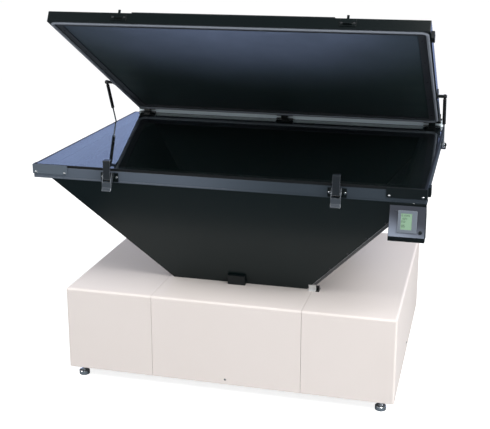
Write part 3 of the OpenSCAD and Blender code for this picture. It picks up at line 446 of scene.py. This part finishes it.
# %% [markdown]
# The face of the rim is paler on its left half and darker towards the control box. This is
# painted reflection: the paler left and the darker right stand in for the brighter and the
# darker parts of the room that the rim mirrors. The corner bracket at the foot of the hopper
# is bright zinc with a black pad at its right end.

# %% Rim fade and bracket pad
tree = rim_satin.node_tree
# Painted reflection: the rim's colour darkens towards the right, leaving the left paler.
painted_reflection_fade = ranged(tree, along_axis(tree, "X"), 0.0, 1.0, start=-0.20, end=0.25, interpolation_type="SMOOTHSTEP")
repaint(rim_satin, painted_reflection_fade, (0.050, 0.066, 0.084))
tree = zinc_plate.node_tree
PAD_WIDTH = 0.012
pad_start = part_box("hopper_corner_bracket")[1][0] - PAD_WIDTH
repaint(zinc_plate, combine(tree, "GREATER_THAN", along_axis(tree, "X"), pad_start), (0.010, 0.011, 0.012))
print("materials:", rim_satin.name, zinc_plate.name)

# %% [markdown]
# The screws of the rim and the cabinet are bright, and those on the slope of the hopper are
# blackened. They are one node, so the height on the object chooses between the two.

# %% Screws
mixed_screws = surface("mixed_screws", (0.40, 0.41, 0.42), gloss=(0.16, 0.26), metal=1.0, grain=400.0, edge=0.0004)
tree = mixed_screws.node_tree
SLOPE_FOOT, SLOPE_TOP = 0.36, 0.72
height = along_axis(tree, "Z")
above = combine(tree, "GREATER_THAN", height, SLOPE_FOOT)
below = combine(tree, "LESS_THAN", height, SLOPE_TOP)
repaint(mixed_screws, combine(tree, "MULTIPLY", above, below), (0.11, 0.115, 0.12))
print("material:", mixed_screws.name)

# %% [markdown]
# The two corner brackets of the table are one node too. The right one is black, and the left
# one has the satin grey of the rim.

# %% Brackets
bracket_paint = surface(
    "bracket_paint", (0.004, 0.007, 0.008), gloss=(0.26, 0.34), grain=600.0, rubbed_and_highlight=(0.05, 0.055, 0.06), specular=0.3
)
tree = bracket_paint.node_tree
repaint(bracket_paint, combine(tree, "LESS_THAN", along_axis(tree, "X"), 0.0), (0.100, 0.125, 0.155))
print("material:", bracket_paint.name)

# %% [markdown]
# Plastics and rubbers: a fine moulded grain, almost no gloss on the trim, and a lighter grey
# bead round the blanket that seals on the glass.

# %% Plastics and rubbers
moulded_black = surface(
    "moulded_black", (0.003, 0.006, 0.007), gloss=(0.40, 0.52), grain=1500.0, depth=0.00004, specular=0.3
)
strut_lacquer = surface("strut_lacquer", (0.007, 0.007, 0.008), gloss=(0.12, 0.2), coat=0.5, grain=500.0)
trim_rubber = surface("trim_rubber", (0.003, 0.004, 0.005), gloss=(0.45, 0.6), grain=900.0, specular=0.3)
bead_rubber = surface(
    "bead_rubber", (0.22, 0.25, 0.30), (0.26, 0.29, 0.34), gloss=(0.40, 0.55), grain=900.0, edge=0.0008
)
bezel_silver = surface(
    "bezel_silver",
    (0.15, 0.18, 0.22),
    (0.20, 0.23, 0.27),
    gloss=(0.3, 0.4),
    metal=0.3,
    edge=0.0014,
    rubbed_and_highlight=(0.62, 0.64, 0.68),
)
glazed_white = surface("glazed_white", (0.72, 0.70, 0.64), gloss=(0.12, 0.2), coat=0.5, grain=200.0)
frosted_lamp = surface("frosted_lamp", (0.80, 0.79, 0.74), gloss=(0.30, 0.38), grain=900.0)
print("plastics ready")

# %% [markdown]
# ### The glass
# Plate glass is clear with a faint green in its depth. It shows the black hopper below it
# and, at this flat angle, the lid and the white room above it. A touch of noise in the
# roughness keeps the reflection from being perfect, like handled glass.

# %% Glass
table_glass, tree, shader = blank_material("table_glass")
skin = place_group(tree, paint_skin, Size=30.0, Ripple=0.8)
tree.links.new(ranged(tree, skin.outputs["Cloud"], 0.0, 0.035), shader.inputs["Roughness"])
tint = colour_mix(tree, skin.outputs["Cloud"], (0.80, 0.88, 0.86), (0.84, 0.91, 0.89))
tree.links.new(tint, shader.inputs["Base Color"])
shader.inputs["IOR"].default_value = 1.52
shader.inputs["Transmission Weight"].default_value = 1.0
print("material:", table_glass.name)

# %% [markdown]
# ### The display
# A liquid crystal screen is a pale green film with a faint grid of cells. The glow comes
# from a small emission, as from its back light, so it stays readable in the shade.

# %% Display
display_film, tree, shader = blank_material("display_film")
cells = add_node(tree, "ShaderNodeTexVoronoi", Scale=1400.0)
tree.links.new(object_place(tree), cells.inputs["Vector"])
skin = place_group(tree, paint_skin, Size=60.0, Ripple=0.5)
film = colour_mix(tree, skin.outputs["Cloud"], (0.16, 0.26, 0.18), (0.24, 0.36, 0.25))
film = colour_mix(tree, cells.outputs["Distance"], film, (0.18, 0.29, 0.20))
tree.links.new(film, shader.inputs["Base Color"])
tree.links.new(film, shader.inputs["Emission Color"])
shader.inputs["Emission Strength"].default_value = 0.25
shader.inputs["Roughness"].default_value = 0.22
print("material:", display_film.name)

# %% [markdown]
# ### Who wears what
# Each CAD node keeps its own mesh and only gets a material. The table is written by finish,
# as a painter's list would be.

# %% Assign the finishes
WEARS = {
    cream_coat: ["centre_cover", "left_cover", "right_cover"],
    hopper_black: ["hopper_shell", "left_shutter_leaf", "right_shutter_leaf"],
    strip_satin: ["hopper_side_panel"],
    lid_black: [
        "lid_frame",
        "hinge_blocks",
        "hinge_leaves",
        "latch_plates",
        "keepers",
        "control_housing",
        "strut_brackets",
        "lid_strut_mounts",
    ],
    latch_black: ["left_latch_claw", "right_latch_claw"],
    lever_satin: ["left_latch_lever", "right_latch_lever"],
    bracket_paint: ["corner_brackets"],
    strip_grey: ["clamp_strips"],
    panel_grey: ["control_face", "terminal_box"],
    primer_grey: ["base_frame"],
    casting_grey: ["vacuum_pump"],
    core_varnish: ["ballast"],
    rim_satin: ["table_frame"],
    rail_light: ["hinge_rail"],
    zinc_plate: ["hopper_corner_bracket"],
    nickel: ["hinge_pins", "hose_nipple", "lid_vacuum_port"],
    mixed_screws: ["frame_screws"],
    black_screws: ["lid_screws"],
    polished: [
        "front_left_foot",
        "front_right_foot",
        "rear_left_foot",
        "rear_right_foot",
        "left_strut_rod",
        "right_strut_rod",
    ],
    bright_sheet: ["reflector"],
    drawn_can: ["capacitors"],
    moulded_black: [
        "shutter_drive_box",
        "lid_sensor",
        "lid_magnet",
        "lid_handle",
        "fan_housing",
        "fan_rotor",
        "power_gland",
        "start_button",
    ],
    strut_lacquer: ["left_strut_cylinder", "right_strut_cylinder"],
    trim_rubber: ["glass_gasket"],
    bead_rubber: ["blanket_bead"],
    bezel_silver: ["display_bezel"],
    glazed_white: ["lamp_socket"],
    frosted_lamp: ["lamp_bulb"],
    table_glass: ["glass_sheet"],
    display_film: ["display_screen"],
}


def wear(piece, material):
    """Gives a piece one material in place of what it had."""
    piece.data.materials.clear()
    piece.data.materials.append(material)


for material, nodes in WEARS.items():
    for node in nodes:
        wear(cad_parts[node], material)
print("dressed", sum(len(nodes) for nodes in WEARS.values()), "nodes")

# %% [markdown]
# ## Making meshes from numpy arrays
# Every new piece is a grid of points worked out as whole arrays. A grid has rows and
# columns, and its faces join each point with its neighbours. Closing a direction joins the
# last row or column to the first, as round a tube.


# %% Grid to mesh
def grid_faces(rows, columns, close_rows=False, close_columns=False, start=0):
    """Quads between neighbours of a grid whose points are numbered row by row from start."""
    across = np.arange(columns if close_columns else columns - 1)
    down = np.arange(rows if close_rows else rows - 1)
    i, j = np.meshgrid(down, across, indexing="ij")
    i2, j2 = (i + 1) % rows, (j + 1) % columns
    corners = np.stack([i * columns + j, i * columns + j2, i2 * columns + j2, i2 * columns + j], axis=-1)
    return corners.reshape(-1, 4) + start


def make_piece(name, points, faces, body, material, smooth=True):
    """Puts arrays of points and faces into a mesh object that rides on a body."""
    mesh = bpy.data.meshes.new(name)
    blocks = faces if isinstance(faces, list) else [faces]
    mesh.from_pydata(points.reshape(-1, 3).tolist(), [], [face for block in blocks for face in block.tolist()])
    mesh.polygons.foreach_set("use_smooth", np.full(len(mesh.polygons), smooth))
    mesh.update()
    piece = bpy.data.objects.new(name, mesh)
    bpy.context.scene.collection.objects.link(piece)
    wear(piece, material)
    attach(piece, body)
    print(name, len(mesh.vertices), "points", len(mesh.polygons), "faces")
    return piece


# %% [markdown]
# ## A hair of air under the glass
# The glass lies on a tape, but it doesn't stick to it: a thin film of air stays between them,
# so its lower face mirrors the room all over. The solid of the glass touches the tape, so a
# copy with its lower face a fifth of a millimetre higher takes its place.

# %% Glass plate
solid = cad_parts["glass_sheet"].data
plate_points = np.zeros(len(solid.vertices) * 3)
solid.vertices.foreach_get("co", plate_points)
plate_points = plate_points.reshape(-1, 3)
lower_face = plate_points[:, 2] < plate_points[:, 2].min() + 0.0001
plate_points[lower_face, 2] += 0.0002
plate_mesh = solid.copy()
plate_mesh.vertices.foreach_set("co", plate_points.ravel())
plate_mesh.update()
glass_plate = bpy.data.objects.new("glass_plate", plate_mesh)
bpy.context.scene.collection.objects.link(glass_plate)
wear(glass_plate, table_glass)
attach(glass_plate, "base")
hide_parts("glass_sheet")
print("lifted", int(lower_face.sum()), "points of", len(plate_points))

# %% [markdown]
# ## Rear seal
# A rubber strip stands on the rail behind the hinges and closes the gap under the open lid.
# Without it, the glass mirrors a line of the bright room along its far edge.

# %% Rear seal
rail_low, rail_high = (np.array(corner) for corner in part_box("hinge_rail"))
seal_half, seal_height, seal_set_back, seal_end = 0.0016, 0.0078, 0.0020, 0.0040
turn = np.linspace(0.0, math.pi, 9)
seal_middle = rail_high[1] - seal_set_back
seal_foot, seal_crown = rail_high[2], rail_high[2] + seal_height - seal_half
crown = np.stack([seal_middle + seal_half * np.cos(turn), seal_crown + seal_half * np.sin(turn)], axis=-1)
profile = np.concatenate([[(seal_middle + seal_half, seal_foot)], crown, [(seal_middle - seal_half, seal_foot)]])
corners = len(profile)
seal_ends = (rail_low[0] + seal_end, rail_high[0] - seal_end)
seal_points = np.concatenate([np.column_stack([np.full(corners, x), profile]) for x in seal_ends])
seal_caps = np.stack([np.arange(corners)[::-1], np.arange(corners) + corners])
seal_faces = [grid_faces(2, corners, close_columns=True), seal_caps]
make_piece("rear_seal", seal_points, seal_faces, "base", trim_rubber, smooth=False)

# %% [markdown]
# ## A ruler for the open lid
# The lid rests open, turned about the hinge at the back of the table. Its pieces are easiest
# to place on the shut lid: across, from the back edge towards the front, and up from its
# underside. This function turns such places into the open lid's.

# %% Places on the lid
HINGE_Y, HINGE_Z = 0.501, 0.800
LID_BEHIND, LID_UNDER = -0.0220, -0.0094
OPEN = math.radians(28)


def on_lid(across, from_back, up):
    """The shut place relative to the hinge is (LID_BEHIND - from_back, LID_UNDER + up), turned up by OPEN."""
    y, z = LID_BEHIND - from_back, LID_UNDER + up
    turned_y = HINGE_Y + y * math.cos(OPEN) + z * math.sin(OPEN)
    turned_z = HINGE_Z - y * math.sin(OPEN) + z * math.cos(OPEN)
    return np.stack(np.broadcast_arrays(across, turned_y, turned_z), axis=-1)


LID_DEPTH = 0.946
print("front edge of the lid at", on_lid(0.0, LID_DEPTH, 0.0).round(3))

# %% [markdown]
# ## The rubber blanket
# The blanket is a thin rubber sheet clamped all round under the lid. It is not a board: it
# hangs a few millimetres between the strips, and shallow puckers run in from its clamps.
# A cloth simulation could find that shape, but a clamped sheet under its own weight is
# close to a known surface, so we write it down. A pale blue-grey patch along the front is
# painted light: it stands in for the light that reaches the front of the blanket, and a
# mask fades it in there.

# %% Material of the blanket
blanket_rubber = surface(
    "blanket_rubber",
    (0.024, 0.040, 0.042),
    (0.030, 0.048, 0.052),
    gloss=(0.42, 0.52),
    grain=2200.0,
    ripple=0.3,
    depth=0.00006,
    edge=0.0005,
    specular=0.2,
)
tree = blanket_rubber.node_tree
# Painted light: a pale blue-grey patch near the front edge, fading inwards, stands in for the light on the front of
# the blanket.
PAINTED_LIGHT_MIDDLE, PAINTED_LIGHT_REACH = (0.0, -0.36, 1.20), (0.85, 0.60)
offset = add_node(tree, "ShaderNodeVectorMath", operation="SUBTRACT")
offset.inputs[1].default_value = PAINTED_LIGHT_MIDDLE
shrink = add_node(tree, "ShaderNodeVectorMath", operation="MULTIPLY")
shrink.inputs[1].default_value = (1 / PAINTED_LIGHT_REACH[0], 1 / PAINTED_LIGHT_REACH[1], 0.0)
away = add_node(tree, "ShaderNodeVectorMath", operation="LENGTH")
tree.links.new(object_place(tree), offset.inputs[0])
tree.links.new(offset.outputs[0], shrink.inputs[0])
tree.links.new(shrink.outputs[0], away.inputs[0])
painted_light_mask = ranged(tree, away.outputs["Value"], 0.0, 1.0, start=1.0, end=0.0, interpolation_type="SMOOTHSTEP")
patchy = ranged(tree, noise_at(tree, 5.0, 4.0), 0.55, 1.25)
repaint(blanket_rubber, combine(tree, "MULTIPLY", painted_light_mask, patchy), (0.22, 0.28, 0.44))
print("material:", blanket_rubber.name)

# %% Blanket
SHEET_W, SHEET_L, SHEET_T = 1.2260, 0.9110, 0.0026


def sagging_sheet(width, length, sag, pucker, rows=120, columns=150):
    """Lift of a clamped sheet, with u and v from -1 to 1 over the free part between the clamps.
    The sag is (1 - u^2)(1 - v^2), and puckers are cosines along each edge that fade inwards."""
    v, u = np.meshgrid(np.linspace(-1, 1, rows), np.linspace(-1, 1, columns), indexing="ij")
    x, y = u * width / 2, v * length / 2
    u, v = np.clip(u / 0.955, -1, 1), np.clip(v / 0.94, -1, 1)
    dip = sag * ((1 - u**2) * (1 - v**2)) ** 0.8
    along_sides = np.exp(-9 * (1 - np.abs(u))) * np.cos(23 * v)
    along_ends = np.exp(-9 * (1 - np.abs(v))) * np.cos(31 * u)
    fade = np.minimum((1 - u**2) * 12, 1) * np.minimum((1 - v**2) * 12, 1)
    return x, y, -dip + pucker * (along_sides + along_ends) * fade


across, along, lift = sagging_sheet(SHEET_W, SHEET_L, sag=0.006, pucker=0.0005)
SHEET_MIDDLE, SHEET_UP = LID_DEPTH / 2, 0.0042
lower = on_lid(across, SHEET_MIDDLE + along, SHEET_UP + lift)
upper = on_lid(across, SHEET_MIDDLE + along, SHEET_UP + SHEET_T + lift)
rows, columns = lift.shape
count = rows * columns
first_row, last_row = np.arange(columns), (rows - 1) * columns + np.arange(columns)
left_side, right_side = np.arange(rows) * columns, np.arange(rows) * columns + columns - 1
round_edge = np.concatenate([first_row[:-1], right_side[:-1], last_row[:0:-1], left_side[:0:-1]])
next_edge = np.roll(round_edge, -1)
edge_faces = np.stack([round_edge, round_edge + count, next_edge + count, next_edge], axis=-1)
under = grid_faces(rows, columns)
over = grid_faces(rows, columns, start=count)[:, ::-1]
blanket = make_piece(
    "rubber_blanket",
    np.concatenate([lower.reshape(-1, 3), upper.reshape(-1, 3)]),
    np.concatenate([under, over, edge_faces]),
    "lid",
    blanket_rubber,
)
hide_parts("vacuum_blanket")

# %% [markdown]
# ## Threads on the levelling feet
# A levelling foot turns on a coarse thread, which shows between the disc and the lock nut.
# A thread is one ridge carried along a helix: each ring of the grid is the ridge's small
# triangle, turned and raised a little further. The ends taper into the stud.


# %% Threads
def helix_ridge(centre, radius, bottom, top, pitch, ridge, around=28):
    """Angle t gives the place (r cos t, r sin t, bottom + pitch t / 2 pi).
    The ridge's triangle stands out from it by the ridge's height."""
    turns = (top - bottom) / pitch
    t = np.linspace(0, 2 * np.pi * turns, int(around * turns))
    taper = np.clip(np.minimum(t, t[-1] - t) / 1.2, 0.02, 1)
    out = np.stack([np.full_like(t, -0.0002), ridge * taper, np.full_like(t, -0.0002)], axis=1)
    rise = np.stack([-0.42 * pitch * taper, 0 * taper, 0.42 * pitch * taper], axis=1)
    r = radius + out
    height = (bottom + pitch * t / (2 * np.pi))[:, None] + rise
    return np.stack([centre[0] + r * np.cos(t)[:, None], centre[1] + r * np.sin(t)[:, None], height], axis=-1)


STUD_RADIUS, THREAD_PITCH, THREAD_RIDGE = 0.0050, 0.0015, 0.0006
THREAD_FROM, THREAD_TO = 0.0195, 0.0252
for corner in ("front_left", "front_right", "rear_left", "rear_right"):
    low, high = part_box(corner + "_foot")
    centre = ((low[0] + high[0]) / 2, (low[1] + high[1]) / 2)
    bottom, top = low[2] + THREAD_FROM, low[2] + THREAD_TO
    ridge = helix_ridge(centre, STUD_RADIUS, bottom, top, THREAD_PITCH, THREAD_RIDGE)
    faces = grid_faces(len(ridge), 3, close_columns=True)
    ends = np.array([[2, 1, 0], [len(ridge) * 3 - 3, len(ridge) * 3 - 2, len(ridge) * 3 - 1]])
    make_piece(corner + "_foot_thread", ridge, [faces, ends], "foot_" + corner, polished)

# %% [markdown]
# ## Screw heads
# The hinge leaves and the grip strip are held by small round-headed screws and rivets. A
# head is a profile turned about its axis. The profile is written once, and each head is
# that surface moved to its place and laid against its own face.


# %% Screw heads
def turned_head(radius, height, around=20):
    """Radius falls as a quarter ellipse while height rises, and a small dish in the middle
    stands for the recess. The last two points close the foot and the dish."""
    sunk = -0.0003
    a = np.linspace(0, np.pi / 2, 7)
    r = np.concatenate([[radius], radius * np.cos(a[:-1]), [radius * 0.45, radius * 0.36]])[:, None]
    z = np.concatenate([[sunk], height * np.sin(a[:-1]), [height, height * 0.55]])[:, None]
    t = np.linspace(0, 2 * np.pi, around, endpoint=False)
    rings = np.stack(np.broadcast_arrays(r * np.cos(t), r * np.sin(t), z), axis=-1)
    middles = np.array([[0.0, 0.0, sunk], [0.0, 0.0, height * 0.5]])
    return np.concatenate([rings.reshape(-1, 3), middles]), len(r), around


def heads_at(name, places, out, body, radius=0.0038, height=0.0018):
    """One piece of many heads. Each place is a point, and out is the direction that all of them face."""
    out = np.asarray(out, float) / np.linalg.norm(out)
    side = np.cross(out, [1.0, 0.0, 0.0] if abs(out[0]) < 0.9 else [0.0, 1.0, 0.0])
    side /= np.linalg.norm(side)
    other = np.cross(out, side)
    head, rows, columns = turned_head(radius, height)
    points = np.asarray(places)[:, None, :] + (head @ np.stack([side, other, out]))[None]
    first = np.arange(columns)
    after = np.roll(first, -1)
    last = (rows - 1) * columns
    foot = np.stack([after, first, np.full(columns, rows * columns)], axis=-1)
    dish = np.stack([last + first, last + after, np.full(columns, rows * columns + 1)], axis=-1)
    starts = (np.arange(len(places)) * len(head))[:, None, None]
    quads = (grid_faces(rows, columns, close_columns=True)[None] + starts).reshape(-1, 4)
    triangles = (np.concatenate([foot, dish])[None] + starts).reshape(-1, 3)
    return make_piece(name, points, [quads, triangles], body, nickel)


LID_BACK = (0.0, math.cos(OPEN), -math.sin(OPEN))
LID_TOP = (0.0, -math.sin(OPEN), math.cos(OPEN))
hinge_places, leaf_spread = (-0.6, 0.0, 0.6), (-0.026, 0.0, 0.026)
leaf_places = [on_lid(x + aside, -0.003, 0.026) for x in hinge_places for aside in leaf_spread]
heads_at("hinge_leaf_screws", leaf_places, LID_BACK, "lid")
grip_places = [on_lid(x, 0.929, 0.0385) for x in np.arange(-0.31, 0.311, 0.124)]
heads_at("grip_rivets", grip_places, LID_TOP, "lid", radius=0.0030, height=0.0010)

# %% [markdown]
# ## Figures on the display
# The screen shows lines of plain figures. Each figure is made of seven bars, as on any
# timer, and a row of switches says which bars are on. The bars lie on the sloping screen.

# %% Display figures
ink, tree, shader = blank_material("display_ink")
skin = place_group(tree, paint_skin, Size=900.0, Ripple=0.2)
dark = colour_mix(tree, skin.outputs["Cloud"], (0.012, 0.035, 0.020), (0.020, 0.050, 0.030))
tree.links.new(dark, shader.inputs["Base Color"])
shader.inputs["Roughness"].default_value = 0.35

BARS = {
    "0": (1, 1, 1, 0, 1, 1, 1),
    "1": (0, 0, 1, 0, 0, 1, 0),
    "2": (1, 0, 1, 1, 1, 0, 1),
    "3": (1, 0, 1, 1, 0, 1, 1),
    "4": (0, 1, 1, 1, 0, 1, 0),
    "5": (1, 1, 0, 1, 0, 1, 1),
}
# Middle of each bar in units of the figure's width, and whether it stands
BAR_PLACES = ((0, 1, 0), (-0.5, 0.5, 1), (0.5, 0.5, 1), (0, 0, 0), (-0.5, -0.5, 1), (0.5, -0.5, 1), (0, -1, 0))
# Half the thickness and half the length of a bar in the same units, and its height
THIN, LONG, BAR_HEIGHT = 0.15, 0.42, 0.00012


def figure_bars(text, left, middle, width, gap):
    """Rows of (x, y, half width, half height) on the screen for one line of figures."""
    bars = []
    for place, letter in enumerate(text):
        for on, (x, y, stands) in zip(BARS[letter], BAR_PLACES):
            if on:
                half = (THIN, LONG) if stands else (LONG, THIN)
                centre = left + place * (width + gap)
                bars.append((centre + x * width, middle + y * width, half[0] * width, half[1] * width))
    return bars


LEAN = math.atan2(30, 94)
UP_SLOPE = np.array([0.0, math.sin(LEAN), math.cos(LEAN)])
OUTWARD = np.array([0.0, -math.cos(LEAN), math.sin(LEAN)])
screen_low, screen_high = (np.array(corner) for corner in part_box("display_screen"))
screen_foot = np.array([(screen_low[0] + screen_high[0]) / 2, screen_low[1], screen_low[2] + 0.001 * math.sin(LEAN)])
# Each line's text, its left end, its height on the screen, a figure's width and the gap
LINES = (
    ("012345", -0.0130, 0.0430, 0.0026, 0.0016),
    ("1024", -0.0130, 0.0335, 0.0026, 0.0016),
    ("032", -0.0130, 0.0245, 0.0026, 0.0016),
    ("05", -0.0120, 0.0110, 0.0036, 0.0024),
)
bars = np.array([bar for line in LINES for bar in figure_bars(*line)])
CORNERS = np.array([(-1, -1, 0), (1, -1, 0), (1, 1, 0), (-1, 1, 0), (-1, -1, 1), (1, -1, 1), (1, 1, 1), (-1, 1, 1)])
sizes = np.column_stack([bars[:, 2:], np.full(len(bars), BAR_HEIGHT)])
middles = np.column_stack([bars[:, :2], np.zeros(len(bars))])
flat = middles[:, None, :] + CORNERS[None] * sizes[:, None, :]
figure_points = screen_foot + flat @ np.stack([[1.0, 0.0, 0.0], UP_SLOPE, OUTWARD])
box_faces = np.array([(0, 3, 2, 1), (4, 5, 6, 7), (0, 1, 5, 4), (1, 2, 6, 5), (2, 3, 7, 6), (3, 0, 4, 7)])
figure_faces = (box_faces[None] + 8 * np.arange(len(bars))[:, None, None]).reshape(-1, 4)
make_piece("display_figures", figure_points, figure_faces, "base", ink, smooth=False)

# %% [markdown]
# ## The studio
# A plain pale floor, a white room and five soft lamps. The room is white to the camera and
# gives a quarter of that as light, so the lamps shape the object. Reflections see a cooler
# room, as its far walls are, and a darker floor. The floor keeps the object's shadow and is
# lifted to white only where the camera looks at it.

# %% White room
WHITE = (1.0, 1.0, 1.0)
ROOM_LIGHT = 0.26


def studio_level(tree, seen):
    """The room's own level as light, and a strength of 1 where the mask of seen rays is 1."""
    level = add_node(tree, "ShaderNodeMath", operation="MULTIPLY_ADD")
    level.inputs[1].default_value = 1.0 - ROOM_LIGHT
    level.inputs[2].default_value = ROOM_LIGHT
    tree.links.new(seen, level.inputs[0])
    return level.outputs[0]


world = bpy.data.worlds.new("studio")
bpy.context.scene.world = world
world.use_nodes = True
room = world.node_tree
background = room.nodes["Background"]
rays = add_node(room, "ShaderNodeLightPath").outputs
plain = combine(room, "MAXIMUM", rays["Is Camera Ray"], rays["Is Diffuse Ray"])
room.links.new(colour_mix(room, plain, (0.84, 0.93, 1.0), WHITE), background.inputs["Color"])
room.links.new(studio_level(room, rays["Is Camera Ray"]), background.inputs["Strength"])
print("world:", world.name)


# %% Floor
def staged_plane(name, corners, material):
    """A flat piece of the studio that is no part of the object."""
    mesh = bpy.data.meshes.new(name)
    mesh.from_pydata(corners, [], [(0, 1, 2, 3)])
    plane = bpy.data.objects.new(name, mesh)
    bpy.context.scene.collection.objects.link(plane)
    wear(plane, material)
    return plane


floor_paper, tree, shader = blank_material("floor_paper")
skin = place_group(tree, paint_skin, Size=12.0, Ripple=0.5)
paper = colour_mix(tree, skin.outputs["Cloud"], (0.52, 0.52, 0.52), (0.56, 0.56, 0.56))
shader.inputs["Roughness"].default_value = 0.9
rays = add_node(tree, "ShaderNodeLightPath").outputs
paper = colour_mix(tree, rays["Is Glossy Ray"], paper, (0.11, 0.14, 0.165))
tree.links.new(paper, shader.inputs["Base Color"])
tree.links.new(ranged(tree, rays["Is Camera Ray"], 0.0, 0.84), shader.inputs["Emission Strength"])
shader.inputs["Emission Color"].default_value = (*WHITE, 1.0)
REACH = 9.0
floor_corners = [(-REACH, -REACH, 0.0), (REACH, -REACH, 0.0), (REACH, REACH, 0.0), (-REACH, REACH, 0.0)]
floor = staged_plane("floor", floor_corners, floor_paper)
print("floor:", 2 * REACH, "m wide")

# %% [markdown]
# A tall white wall stands far behind the object. The camera sees it as plain white. The
# glass mirrors it at a flat angle, and there it is a cool, bright blue.

# %% Backdrop
wall_paint, tree, shader = blank_material("wall_paint")
skin = place_group(tree, paint_skin, Size=8.0, Ripple=0.5)
paint = colour_mix(tree, skin.outputs["Cloud"], (0.02, 0.02, 0.02), (0.03, 0.03, 0.03))
tree.links.new(paint, shader.inputs["Base Color"])
shader.inputs["Roughness"].default_value = 1.0
shader.inputs["Specular IOR Level"].default_value = 0.0
rays = add_node(tree, "ShaderNodeLightPath").outputs
sky = colour_mix(tree, rays["Is Glossy Ray"], WHITE, (0.40, 0.51, 0.87))
only_seen = combine(tree, "MAXIMUM", rays["Is Camera Ray"], rays["Is Glossy Ray"])
tree.links.new(sky, shader.inputs["Emission Color"])
tree.links.new(studio_level(tree, only_seen), shader.inputs["Emission Strength"])
WALL_Y, WALL_TOP = 5.5, 5.0
wall_corners = [(-REACH, WALL_Y, 0.0), (REACH, WALL_Y, 0.0), (REACH, WALL_Y, WALL_TOP), (-REACH, WALL_Y, WALL_TOP)]
wall = staged_plane("backdrop", wall_corners, wall_paint)
print("backdrop:", WALL_TOP, "m high")

# %% [markdown]
# The key lamp stands high in front and the right one fills the cabinet's front and top. The
# left and side lamps light the ends, and a small low one reaches under the open lid. Each
# row below is a name, a place, a target, a size in metres and a power in watts.


# %% Lamps
def soft_lamp(name, place, target, size, power):
    """A square area lamp at a place, turned towards a target."""
    data = bpy.data.lights.new(name, "AREA")
    data.size = size
    data.energy = power
    lamp = bpy.data.objects.new(name, data)
    lamp.location = place
    aim = np.array(target, float) - np.array(place, float)
    yaw = math.atan2(aim[1], aim[0]) - math.pi / 2
    pitch = math.atan2(aim[2], math.hypot(aim[0], aim[1]))
    lamp.rotation_euler = (math.pi / 2 + pitch, 0, yaw)
    bpy.context.scene.collection.objects.link(lamp)


LAMPS = (
    ("key", (1.85, -3.35, 4.5), (0.0, 0.0, 0.4), 2.4, 80.0),
    ("left", (-3.9, -1.4, 3.0), (0.0, 0.0, 0.3), 2.4, 115.0),
    ("right", (3.3, -1.9, 3.7), (0.0, 0.0, 0.3), 2.4, 190.0),
    ("side", (4.6, -0.2, 1.6), (0.0, 0.0, 0.4), 2.0, 50.0),
    ("low", (-2.4, -4.5, 1.25), (0.0, 0.4, 0.8), 1.4, 18.0),
)
for row in LAMPS:
    soft_lamp(*row)
